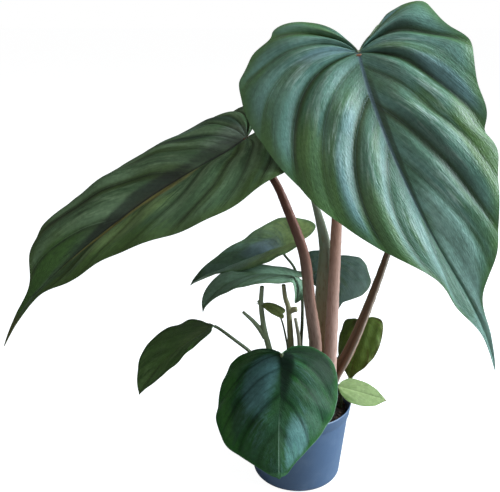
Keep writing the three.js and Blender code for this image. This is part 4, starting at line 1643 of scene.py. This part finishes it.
@dataclass
class Studio:
    """A pale floor, soft lights and the camera."""

    camera_place: Point = (-0.054, -0.701, 0.499)
    camera_tilt: float = 72.0
    lens: float = 50.4
    sensor: float = 36.0
    nearest: float = 0.01
    floor_size: float = 80.0
    floor_height: float = -0.0004
    floor_glow: float = 0.94
    sky_strength: float = 0.12
    aim: Point = (0.0, 0.0, 0.3)
    lamps: tuple[Lamp, ...] = (
        Lamp("window", (1.7, -0.2, 1.25), 1.3, 96.0, (0.78, 0.9, 1.0)),
        Lamp("fill", (-1.6, -1.3, 1.3), 2.2, 7.0, (1.0, 0.98, 0.92)),
        Lamp("overhead", (-0.3, -0.35, 2.3), 1.4, 12.0, (0.95, 0.98, 1.0)))

    def build(self) -> None:
        """Builds the floor, the lights, the sky and the camera."""
        self.floor()
        for lamp in self.lamps:
            self.hang(lamp)
        self.sky()
        bpy.ops.object.camera_add(
            location=self.camera_place, rotation=(math.radians(self.camera_tilt), 0.0, 0.0))
        camera = bpy.context.active_object
        camera.data.lens = self.lens
        camera.data.sensor_width = self.sensor
        camera.data.clip_start = self.nearest
        bpy.context.scene.camera = camera
        bpy.context.scene.view_settings.view_transform = "Standard"

    def floor(self) -> None:
        """Lays the plain pale floor."""
        deselect_all()
        bpy.ops.mesh.primitive_plane_add(size=self.floor_size, location=(0.0, 0.0, self.floor_height))
        floor = bpy.context.active_object
        floor.name = "floor"
        graph = Graph("pale_floor")
        graph.set("Base Color", (0.42, 0.43, 0.44, 1.0))
        graph.set("Roughness", 0.9)
        graph.set("Specular IOR Level", 0.1)
        graph.set("Emission Color", WHITE)
        seen = graph.tree.nodes.new("ShaderNodeLightPath").outputs["Is Camera Ray"]
        graph.set("Emission Strength", graph.times(seen, self.floor_glow))
        floor.data.materials.append(graph.material)

    def hang(self, lamp: Lamp) -> None:
        """Hangs one light, turned to the plant.

        Args:
            lamp: The light.
        """
        turn = (Vector(self.aim) - Vector(lamp.place)).to_track_quat("-Z", "Y").to_euler()
        bpy.ops.object.light_add(type="AREA", location=lamp.place, rotation=turn)
        light = bpy.context.active_object
        light.name = lamp.name
        light.data.shape = "SQUARE"
        light.data.size = lamp.size
        light.data.energy = lamp.power
        light.data.color = lamp.colour

    def sky(self) -> None:
        """Makes a white sky that lights the plant less than it shows."""
        world = bpy.data.worlds.new("white_room")
        world.use_nodes = True
        nodes, links = world.node_tree.nodes, world.node_tree.links
        ground = nodes["Background"]
        ground.inputs["Color"].default_value = WHITE
        path = nodes.new("ShaderNodeLightPath")
        level = nodes.new("ShaderNodeMapRange")
        level.inputs["To Min"].default_value = self.sky_strength
        level.inputs["To Max"].default_value = 1.0
        links.new(path.outputs["Is Camera Ray"], level.inputs["Value"])
        links.new(level.outputs[0], ground.inputs["Strength"])
        bpy.context.scene.world = world


class Plant:
    """The plant's leaves, petioles and stubs, with the finishes that they share."""

    def __init__(self) -> None:
        """Sets out the leaves and the stems."""
        self.pale_below = UndersideFinish(
            "pale_underside", body=srgb(120, 142, 108), vein=srgb(150, 165, 130))
        self.red_below = UndersideFinish(
            "flushed_underside", body=srgb(98, 108, 84), vein=srgb(128, 120, 100))
        groups = self.large_leaves(), self.low_leaves(), self.middle_leaves(), self.small_leaves()
        self.leaves = {leaf.name: leaf for leaves in groups for leaf in leaves}
        self.stems = self.make_stems()
        self.stubs = self.make_stubs()

    def large_leaves(self) -> list[Leaf]:
        """Sets out the two large leaves.

        Returns:
            The leaves.
        """
        # The blue is a painted sheen and the dark a painted shade; the olive is the leaf's own tone.
        blue_sheen, leaf_olive, painted_shade = srgb(112, 146, 156), srgb(74, 106, 48), srgb(34, 54, 34)
        silver = BladeFinish(
            "silver_green_blade", body=srgb(80, 118, 96), crest_sheen=srgb(100, 140, 130),
            flank_shade=srgb(56, 84, 46), groove=srgb(24, 40, 22), margin=srgb(72, 108, 54),
            midrib=srgb(84, 108, 116), tip=srgb(140, 178, 162), silver=srgb(172, 196, 184),
            silver_share=0.65, tip_from=0.8, midrib_strength=0.9, midrib_end=0.0, gloss=0.4, patches=(
                # Painted highlights: patches of bluish sheen.
                Patch(blue_sheen, 0.6, (0.42, -0.25), (0.07, 0.35)),
                Patch(blue_sheen, 0.4, (0.67, -0.55), (0.035, 0.5)),
                Patch(blue_sheen, 0.5, (0.08, 0.8), (0.1, 0.35)),
                Patch(blue_sheen, 0.5, (0.47, 0.75), (0.05, 0.4)),
                Patch(leaf_olive, 0.8, (0.58, -0.85), (0.09, 0.4)),
                Patch(leaf_olive, 0.7, (0.74, -0.8), (0.05, 0.45)),
                Patch(leaf_olive, 0.6, (0.2, -0.6), (0.08, 0.45)),
                Patch(leaf_olive, 0.85, (0.58, 0.9), (0.12, 0.3)),
                Patch(srgb(136, 174, 162), 0.8, (0.87, 0.5), (0.1, 0.6)),
                # Painted shade: the valleys and lobe of the left half, and the midrib's valley near the tip.
                Patch(painted_shade, 0.75, (0.3, 0.45), (0.06, 0.5)),
                Patch(painted_shade, 0.6, (0.08, 0.3), (0.1, 0.4)),
                Patch(painted_shade, 0.6, (0.49, 0.35), (0.04, 0.4)),
                Patch(painted_shade, 0.6, (0.71, 0.5), (0.04, 0.5)),
                Patch(painted_shade, 0.8, (0.78, 0.03), (0.2, 0.07)),
                Patch(srgb(104, 104, 108), 0.7, (0.3, 0.0), (0.4, 0.05)),
            ), seed=1.0)
        deep = BladeFinish(
            "deep_green_blade", body=srgb(56, 78, 50), crest_sheen=srgb(94, 118, 86), flank_shade=srgb(48, 62, 32),
            groove=srgb(20, 28, 17), margin=srgb(58, 78, 36), midrib=srgb(22, 20, 20),
            tip=srgb(84, 88, 54), silver=srgb(112, 132, 100), silver_share=0.6, tip_from=0.88,
            roughness=0.5, gloss=0.16, midrib_strength=0.7, midrib_end=0.4, shade_share=0.6,
            ragged=1.5, patches=(
                Patch(srgb(122, 114, 62), 0.8, (0.82, 0.18), (0.15, 0.26)),
                Patch(srgb(98, 104, 98), 0.5, (0.45, -0.1), (0.3, 0.24)),
                # The dark band beside the midrib: the leaf's own near-black zone, with painted shade in the
                # midrib's valley.
                Patch(srgb(22, 24, 24), 0.75, (0.83, -0.06), (0.13, 0.15)),
                Patch(srgb(34, 34, 32), 0.5, (0.64, -0.05), (0.16, 0.1)),
                Patch(srgb(100, 120, 68), 0.6, (0.78, 0.6), (0.1, 0.3)),
                # Painted shade between the folds of the upper half, with a painted sheen on the fold between
                # them.
                Patch(srgb(26, 40, 36), 0.7, (0.4, -0.5), (0.07, 0.45)),
                Patch(srgb(92, 118, 104), 0.7, (0.5, -0.7), (0.08, 0.35)),
                Patch(srgb(26, 40, 34), 0.7, (0.6, -0.5), (0.05, 0.4)),
                Patch(srgb(42, 60, 36), 0.8, (0.3, -0.95), (0.25, 0.2)),
                Patch(srgb(88, 84, 40), 0.8, (0.2, 0.6), (0.12, 0.4)),
                Patch(srgb(66, 90, 40), 0.7, (0.8, 0.95), (0.25, 0.3)),
                Patch(srgb(56, 86, 36), 0.85, (0.92, -0.6), (0.09, 0.6)),
            ), seed=2.0)
        return [
            Leaf(
                "leaf_front_large", "silver_leaf", silver, self.pale_below,
                junction=(47, -25, 469), azimuth=-66, pitch=-58, roll=-23, length=322,
                droop=15, twist=7, sway=-25.5, drip=69, drip_droop=12, drip_sway=25, lobe_droop=8,
                right=Half(
                    116, 45, 0.53, 4, -1.5, -0.2, 6, 29, veins=VeinPattern.FRONT_LARGE_RIGHT,
                    nips=((0.16, 0.03, 0.03), (0.212, 0.022, -0.09), (0.27, 0.03, -0.04),
                          (0.36, 0.06, 0.03), (0.85, 0.05, 0.06), (0.93, 0.04, -0.3))),
                left=Half(
                    96, 32, 0.68, 39, 0.8, 1, 14, 16, veins=VeinPattern.FRONT_LARGE_LEFT,
                    nips=((0.045, 0.03, 0.9), (0.1, 0.025, 0.16), (0.24, 0.05, -0.07),
                          (0.3, 0.035, 0.08), (0.4, 0.05, -0.03), (0.505, 0.02, -0.04),
                          (0.56, 0.03, 0.04), (0.68, 0.05, -0.04))),
                thick=0.8, quilt=6.0, rib=2.4, scallop=0.015, valley=3.5, valley_width=17,
                panel_columns=20, rows=56, lumps=1.4, waves=0.8, seed=11),
            Leaf(
                "leaf_left_large", "deep_leaf", deep, self.red_below,
                junction=(-58, 25, 381), azimuth=211, pitch=-19, roll=6, length=321,
                droop=31.5, twist=3, sway=-4, drip=60, drip_droop=13, drip_sway=4, lobe_droop=4.5,
                right=Half(
                    121, 44, 0.53, 75, 1.4, 0, 21, 63, veins=VeinPattern.LEFT_LARGE_RIGHT,
                    nips=((0.42, 0.06, -0.05), (0.85, 0.05, 0.04))),
                left=Half(
                    101, 47, 0.52, 85, -0.8, 1.5, 15, 30, veins=VeinPattern.LEFT_LARGE_LEFT,
                    nips=((0.72, 0.05, -0.09),)),
                thick=0.8, quilt=4.8, rib=2.4, valley=4, valley_width=15, panel_columns=20,
                rows=56, lumps=1.4, waves=0.8, seed=12),
        ]

    def low_leaves(self) -> list[Leaf]:
        """Sets out the leaf in front of the pot and the one at the lower left.

        Returns:
            The leaves.
        """
        dark = BladeFinish(
            "dark_green_blade", body=srgb(44, 76, 48), crest_sheen=srgb(38, 78, 58), flank_shade=srgb(26, 62, 30),
            groove=srgb(12, 28, 18), margin=srgb(36, 86, 34), midrib=srgb(120, 150, 128),
            tip=srgb(60, 100, 66), silver=srgb(88, 124, 124), silver_share=0.45, tip_from=0.94,
            gloss=0.1, crest_sheen_share=0.3, edge_line=0.6, midrib_strength=0.0, midrib_end=0.8,
            midrib_turn=(0.4, 0.8), patches=(
                # Painted highlight: a bluish sheen beside the midrib.
                Patch(srgb(84, 122, 126), 0.7, (0.64, -0.3), (0.24, 0.36)),
                Patch(srgb(72, 108, 68), 0.8, (0.34, -0.7), (0.24, 0.45)),
                Patch(srgb(58, 106, 46), 0.9, (0.5, -0.95), (0.4, 0.36)),
                Patch(srgb(26, 76, 30), 0.9, (0.18, 0.6), (0.22, 0.55)),
                Patch(srgb(60, 98, 74), 0.5, (0.72, 0.75), (0.1, 0.3)),
                # Painted shade in the midrib's valley, and a painted shadow over the lobe and upper part of
                # the left half.
                Patch(srgb(10, 26, 18), 0.9, (0.5, 0.08), (0.5, 0.2)),
                Patch(srgb(14, 38, 14), 0.85, (0.34, 0.6), (0.28, 0.7)),
                # Painted highlight: a silvery-blue sheen near the tip.
                Patch(srgb(106, 150, 150), 0.5, (0.87, 0.65), (0.12, 0.5)),
            ), seed=3.0)
        low = BladeFinish(
            "olive_green_blade", body=srgb(84, 118, 60), crest_sheen=srgb(104, 138, 80), flank_shade=srgb(76, 106, 50),
            groove=srgb(48, 66, 30), margin=srgb(56, 84, 38), midrib=srgb(100, 118, 64),
            tip=srgb(70, 90, 44), silver=srgb(128, 156, 104), silver_share=0.4, tip_from=0.94,
            gloss=0.25, crest_sheen_share=0.3, line_share=0.35,
            patches=(Patch(srgb(122, 148, 96), 0.7, (0.62, 0.05), (0.3, 0.5)),), seed=5.0)
        return [
            Leaf(
                "leaf_front_low", "dark_leaf", dark, self.pale_below,
                junction=(-21, -43, 167), azimuth=-96, pitch=-42, roll=-1.5, length=125,
                droop=20, twist=9, sway=-3, drip=4, drip_droop=8, drip_sway=-10, lobe_droop=16,
                right=Half(
                    82, 12, 0.51, 46, 1, -0.2, -20, 28, veins=VeinPattern.FRONT_LOW,
                    nips=((0.3, 0.08, -0.09),)),
                left=Half(
                    67, 16, 0.5, 36, -0.8, 0.45, -14, 25, veins=VeinPattern.FRONT_LOW,
                    nips=((0.25, 0.07, -0.09),)),
                thick=0.7, quilt=0.8, rib=1.3, valley=6, valley_width=13, panel_columns=20,
                rows=44, lumps=0.8, seed=13, rib_width=1.1),
            Leaf(
                "leaf_left_low", "olive_leaf", low, self.pale_below,
                junction=(-93, 1, 179), azimuth=205, pitch=-19, roll=-16, length=111,
                droop=38, twist=30, sway=3.5, drip=5, drip_droop=3, drip_sway=3.5, lobe_droop=5,
                right=Half(47.5, -1, 0.5, 37, 0.3, 0.25, 6, 1, ease=0.3),
                left=Half(29.5, -3, 0.5, 37, 0.2, 0.2, 17, 17, ease=0.35),
                quilt=0.8, rib=1, seed=14, rib_width=1),
        ]

    def middle_leaves(self) -> list[Leaf]:
        """Sets out the two leaves at the middle left.

        Returns:
            The leaves.
        """
        middle = BladeFinish(
            "grey_green_blade", body=srgb(112, 142, 120), crest_sheen=srgb(130, 160, 146), flank_shade=srgb(98, 128, 92),
            groove=srgb(56, 78, 58), margin=srgb(90, 122, 80), midrib=srgb(94, 118, 96),
            tip=srgb(62, 84, 58), silver=srgb(134, 158, 142), silver_share=0.5, tip_from=0.8,
            gloss=0.25, crest_sheen_share=0.3, line_share=0.3, patches=(
                Patch(srgb(128, 150, 164), 0.8, (0.7, -0.25), (0.16, 0.5)),
                Patch(srgb(56, 78, 60), 0.6, (0.85, -0.4), (0.2, 0.9)),
                Patch(srgb(140, 162, 98), 0.95, (0.05, 0.0), (0.8, 5.0)),
            ), seed=6.0)
        grey = BladeFinish(
            "pale_slate_blade", body=srgb(128, 160, 132), crest_sheen=srgb(142, 174, 150),
            flank_shade=srgb(114, 146, 110), groove=srgb(70, 94, 72), margin=srgb(108, 138, 100),
            midrib=srgb(86, 112, 90), tip=srgb(100, 130, 96), silver=srgb(134, 162, 148),
            silver_share=0.4, tip_from=0.92, roughness=0.5, gloss=0.25, crest_sheen_share=0.4,
            line_share=0.35, seed=4.5)
        return [
            Leaf(
                "leaf_middle_upper", "silver_leaf", middle, self.pale_below,
                junction=(-15, 61, 248), azimuth=168, pitch=-22, roll=-6, length=124,
                droop=6, twist=7, sway=-4, drip=6, drip_droop=19, drip_sway=4, lobe_droop=7,
                right=Half(
                    51, 36, 0.58, 12, -0.7, 1.4, 30, -3, nips=((0.43, 0.09, 0.14), (0.66, 0.06, -0.06))),
                left=Half(50, 28, 0.51, 20, -1, -0.2, 26, 54),
                quilt=1, rib=1, panel_columns=18, rows=32, seed=15, rib_width=1),
            Leaf(
                "leaf_middle_lower", "deep_leaf", grey, self.red_below,
                junction=(-3, 15, 231), azimuth=176, pitch=10, roll=-25, length=120,
                droop=78, twist=21, drip=8, drip_droop=11, lobe_droop=6,
                right=Half(50, 26, 0.54, 18, 0.2, 0.4, 33, 52, hang=-25, nips=((0.8, 0.1, -0.12),)),
                left=Half(33, 18, 0.51, 20, 0.4, 0.5, 1, 35, hang=20, flap=75),
                quilt=0.8, rib=1, panel_columns=18, rows=32, seed=16, rib_width=1),
        ]

    def small_leaves(self) -> list[Leaf]:
        """Sets out the leaves behind, the newest one and the small old one.

        Returns:
            The leaves.
        """
        slate = BladeFinish(
            "slate_green_blade", body=srgb(48, 68, 56), crest_sheen=srgb(62, 84, 72), flank_shade=srgb(42, 60, 42),
            groove=srgb(28, 40, 30), margin=srgb(50, 70, 44), midrib=srgb(50, 66, 52),
            tip=srgb(62, 84, 60), silver=srgb(84, 104, 94), silver_share=0.3, tip_from=0.92,
            roughness=0.5, gloss=0.2, crest_sheen_share=0.4, line_share=0.35, seed=4.0)
        bronze = BladeFinish(
            "bronze_green_blade", body=srgb(96, 120, 48), crest_sheen=srgb(116, 140, 62), flank_shade=srgb(90, 108, 42),
            groove=srgb(60, 66, 28), margin=srgb(96, 96, 50), midrib=srgb(116, 122, 64),
            tip=srgb(100, 98, 52), silver=srgb(130, 148, 84), silver_share=0.3, tip_from=0.94,
            gloss=0.2, crest_sheen_share=0.3, line_share=0.2, patches=(
                Patch(srgb(68, 62, 30), 0.8, (0.4, -0.2), (0.3, 0.4)),
            ), seed=5.5)
        olive = replace(
            bronze, name="small_olive_blade", body=srgb(128, 142, 78), crest_sheen=srgb(136, 150, 92),
            flank_shade=srgb(118, 130, 68), margin=srgb(124, 126, 70), patches=())
        pale = BladeFinish(
            "pale_green_blade", body=srgb(134, 152, 96), crest_sheen=srgb(146, 164, 108), flank_shade=srgb(126, 144, 86),
            groove=srgb(112, 136, 70), margin=srgb(120, 144, 82), midrib=srgb(160, 176, 120),
            tip=srgb(150, 150, 110), silver=srgb(160, 178, 124), silver_share=0.3, tip_from=0.9,
            edge_line=0.4, roughness=0.5, gloss=0.2, crest_sheen_share=0.2, line_share=0.2, shade_share=0.2,
            patches=(Patch(srgb(98, 124, 62), 0.8, (0.3, -0.6), (0.35, 0.5)),), seed=7.0)
        hidden = Half(38, 18, 0.52, 24, 0.3, 0, 10, 25, veins=VeinPattern.PLAIN)
        return [
            Leaf(
                "leaf_back_middle", "dark_leaf", slate, self.red_below,
                junction=(48, 93, 226), azimuth=-82, pitch=-36, roll=14, length=68,
                droop=22, sway=6, drip=10, drip_droop=11, drip_sway=7, lobe_droop=8,
                right=Half(40, 9.5, 0.52, 23, 0.5, 0.2, 6, 20),
                left=Half(44, 6, 0.52, 22, 0.55, 0.2, 5.5, 17),
                quilt=0.8, rib=1, seed=17, rib_width=0.9),
            Leaf(
                "leaf_right_low", "olive_leaf", bronze, self.pale_below,
                junction=(79, 62, 157), azimuth=-115, pitch=-49, roll=-13, length=76,
                droop=14, sway=2, drip=8.5, drip_droop=8, drip_sway=-1, lobe_droop=8,
                right=Half(27.5, 3, 0.5, 23, 0.3, 0, 1, 24),
                left=Half(28.5, 7, 0.5, 20.5, 0.1, -0.1, 5.5, 22),
                quilt=0.7, rib=0.9, seed=18, rib_width=0.9),
            Leaf(
                "leaf_back_right", "deep_leaf", slate, self.red_below,
                junction=(110, 34, 321), azimuth=25, pitch=-38, roll=0, length=104,
                droop=20, drip=14, drip_droop=8, lobe_droop=8, right=hidden, left=hidden,
                quilt=1, rib=1, seed=19, rib_width=1),
            Leaf(
                "leaf_newest", "pale_leaf", pale, self.pale_below,
                junction=(44.5, -4, 107), azimuth=3, pitch=-17, roll=-42, length=63,
                droop=14, drip=4, drip_droop=3, lobe_droop=8,
                right=Half(15.5, 1, 0.5, 24, 0.5, 0, 12, 20, ease=0.8),
                left=Half(14, 1, 0.5, 23, 0.3, 0, 12, 20, ease=0.8),
                quilt=0.3, rib=0.6, scallop=0.01, panel_columns=12, rows=22, lumps=0.2,
                waves=0.2, groove_depth=0.2, seed=20, rib_width=0.7),
            Leaf(
                "leaf_old_small", "olive_leaf", olive, self.pale_below,
                junction=(-18, 9, 190), azimuth=184, pitch=30, roll=30, length=32,
                droop=20, drip=4, drip_droop=10, lobe_droop=5,
                right=Half(8, 2, 0.5, 9, -0.6, 0, 20, 30),
                left=Half(8, 2, 0.5, 9, -0.6, 0, 20, 30),
                quilt=0.2, rib=0.4, scallop=0.01, panel_columns=8, rows=14, lumps=0.1,
                waves=0.1, groove_depth=0.1, seed=21, rib_width=0.5),
        ]

    def make_stems(self) -> list[Stem]:
        """Sets out the petioles and the rolled new leaf.

        Returns:
            The stems.
        """
        pink = StemFinish(
            "pink_petiole", "pink_stem", foot=srgb(188, 154, 140), top=srgb(164, 110, 80),
            streak=srgb(136, 94, 72), groove=srgb(134, 92, 70), lit=srgb(202, 162, 146))
        red = StemFinish(
            "red_brown_petiole", "red_stem", foot=srgb(160, 136, 120), top=srgb(100, 58, 42),
            streak=srgb(76, 42, 28), groove=srgb(80, 48, 34), lit=srgb(134, 86, 70))
        sheath = StemFinish(
            "sheathed_petiole", "red_stem", foot=srgb(148, 114, 88), top=srgb(74, 72, 52),
            streak=srgb(92, 76, 54), groove=srgb(96, 70, 50), lit=srgb(190, 168, 152), lit_share=0.95)
        green = StemFinish(
            "green_petiole", "green_stem", foot=srgb(96, 104, 74), top=srgb(84, 94, 62),
            streak=srgb(64, 72, 46), groove=srgb(60, 68, 42), lit=srgb(130, 140, 112))
        rolled = StemFinish(
            "rolled_leaf", "green_stem", foot=srgb(188, 160, 124), top=srgb(144, 154, 130),
            streak=srgb(132, 108, 72), groove=srgb(92, 80, 52), lit=srgb(150, 156, 132))

        def petiole(
            leaf: str, finish: StemFinish, base: float, tip: float, *path: Sequence[float],
            drop: float = 0.0, arrival: Pair = (0.8, -0.45), **more: object,
        ) -> Stem:
            """Sets out the petiole of a leaf.

            Args:
                leaf: Name of the leaf.
                finish: The petiole's finish.
                base: Radius at the foot.
                tip: Radius at the blade.
                *path: The place of the foot, and then the points of the path.
                drop: How much lower than usual it meets the blade.
                arrival: How far it heads up and along the midrib where it meets the blade.
                **more: Other fields of the stem.

            Returns:
                The petiole.
            """
            name = leaf.replace("leaf_", "petiole_", 1)
            way = up_to_blade(self.leaves[leaf], tip, drop, arrival, *path)
            return Stem(name, finish, base, tip, way, **more)

        return [
            petiole("leaf_front_large", pink, 7.8, 4.2, (38, 9), (36.6, 9, 121),
                    (36.8, 12, 157), (37.7, 16, 203), (38.6, 20, 251), (39, 20, 296), (40, 15, 360),
                    (42.6, 3, 422), channel=0.1, knee=0.12, steps=170, sides=40, seed=31),
            petiole("leaf_left_large", red, 7.6, 2.9, (17, -5), (17, -3, 120),
                    (18, -2, 156), (10, -3, 211), (3, -3.5, 262), (-12.4, 1, 304), (-31, 8, 343),
                    channel=0.2, knee=0.12, taper=1.6, foot=0.8, steps=150, sides=40, seed=32),
            petiole("leaf_back_right", sheath, 8.2, 2, (40, 24), (46, 24, 108), (56, 20, 133),
                    (67.5, 17, 166), (80.5, 16, 208), (94, 20, 251), (103, 25, 285),
                    form=StemForm.SHEATHED, channel=0.6, turn=-35.0, foot=0.7, steps=130, sides=48, seed=33),
            petiole("leaf_middle_lower", green, 2.3, 1.4, (18.5, 11), (18, 12, 140),
                    (14, 13, 182), (8, 14, 208), drop=0.5, seed=34),
            petiole("leaf_middle_upper", green, 2.4, 1.4, (4, 24), (5, 34, 146),
                    (6.5, 44, 165), (6, 57, 195), (-3, 62, 225), seed=35),
            petiole("leaf_back_middle", green, 2.2, 1.3, (29, 38), (40, 52, 130),
                    (48, 72, 180), seed=36),
            petiole("leaf_right_low", green, 2.2, 1.3, (37, 35.5), (39, 38, 96),
                    (55, 56, 118), (69, 66, 138), steps=80, seed=37),
            petiole("leaf_front_low", green, 2.6, 1.7, (-4, -3), (-7, -8, 115),
                    (-13, -20, 143), steps=80, seed=38),
            petiole("leaf_left_low", green, 2.6, 1.7, (-17, -2), (-22, 0, 104),
                    (-32, 1, 122), (-54, 0, 148), (-74, 0, 165), arrival=(0.85, 0.65), seed=39),
            petiole("leaf_newest", green, 2.4, 1.3, (48, -6), (49, -6, 92), steps=50, seed=40),
            petiole("leaf_old_small", green, 1.8, 0.9, (-13, 5), (-12, 7, 149),
                    (-14, 8, 161), (-17.5, 9, 177), steps=80, seed=41),
            Stem("new_leaf_spear", rolled, 12, 0.9, StemPath(footed(
                (25, 24), (27, 29, 150), (29, 33, 226), (28.7, 34, 261), (22.2, 32, 289.6),
                (12.5, 30, 319.5), (5.6, 30, 339))),
                form=StemForm.ROLLED, taper=2.1, foot=0.5, steps=140, sides=56, seed=42),
        ]

    def make_stubs(self) -> list[Stub]:
        """Sets out the cut stubs and the dried sheath.

        Returns:
            The stubs.
        """
        cut_green = StemFinish(
            "cut_green_stub", "green_stem", foot=srgb(134, 146, 112), top=srgb(130, 138, 102),
            streak=srgb(84, 86, 60), groove=srgb(84, 86, 60), lit=srgb(140, 150, 126))
        cut_red = StemFinish(
            "cut_red_stub", "red_stem", foot=srgb(156, 152, 112), top=srgb(124, 90, 68),
            streak=srgb(80, 60, 44), groove=srgb(80, 60, 44), lit=srgb(140, 120, 98))
        dried = StemFinish(
            "dried_sheath", "dry_sheath", foot=srgb(176, 172, 148), top=srgb(186, 186, 160),
            streak=srgb(130, 122, 96), groove=srgb(120, 110, 84), lit=srgb(204, 202, 184), roughness=0.75)
        return [
            Stub("stub_left", cut_green, 4.6, 2.4, footed(
                (-23, 12), (-28, 12, 125), (-32.6, 12, 147), (-37.3, 11, 166), (-40.2, 10, 184),
                (-41.9, 10, 202), (-40.9, 10, 222)), (
                (3.2, 1.7, ((-37, 11, 160), (-42, 10.5, 169), (-49.6, 9, 180), (-61.7, 6, 193.3))),
                (2.3, 1.2, ((-41.6, 10, 199), (-44, 9.6, 203), (-45.5, 9.4, 205))))),
            Stub("stub_middle", cut_red, 5.4, 2.3, footed(
                (-5, 17), (-6, 16, 123), (-7.7, 15, 145), (-9.3, 14, 168), (-10.7, 14, 186),
                (-12, 14, 197), (-15, 14, 206), (-17.4, 14, 222.4)), (
                (3.6, 3, ((-11.5, 14, 190), (-6, 13, 193), (-2.1, 12, 194))),)),
            Stub("dry_sheath", dried, 3.6, 1.8, footed(
                (2, 9), (1.5, 10, 120), (0.9, 11, 156), (-2, 11, 174), (-4, 10, 184))),
        ]

    def feet(self) -> tuple[Point, ...]:
        """Finds where each stem stands in the soil.

        Returns:
            The place and radius of each foot, in millimetres.
        """
        stems = [(stem.path.points[0], stem.base) for stem in self.stems]
        stems += [(stub.path[0], stub.base) for stub in self.stubs]
        return tuple((foot[0], foot[1], base) for foot, base in stems)

    def build(self) -> None:
        """Builds every leaf and stem."""
        for piece in (*self.stems, *self.stubs, *self.leaves.values()):
            piece.build()


def main() -> None:
    """Builds the studio, the plant, its pot and the mix."""
    logging.basicConfig(level=logging.INFO, format="%(message)s")
    Studio().build()
    plant = Plant()
    plant.build()
    Pot(PotFinish("slate_blue_plastic", body=srgb(74, 98, 128), scuff=srgb(110, 128, 150))).build()
    mix = SoilFinish("damp_mix", dark=srgb(26, 19, 14), pale=srgb(58, 42, 30))
    bark = SoilFinish("bark", dark=srgb(38, 26, 18), pale=srgb(92, 66, 46), grain=520.0)
    Soil(mix, bark, plant.feet()).build()


if __name__ == "__main__":
    main()
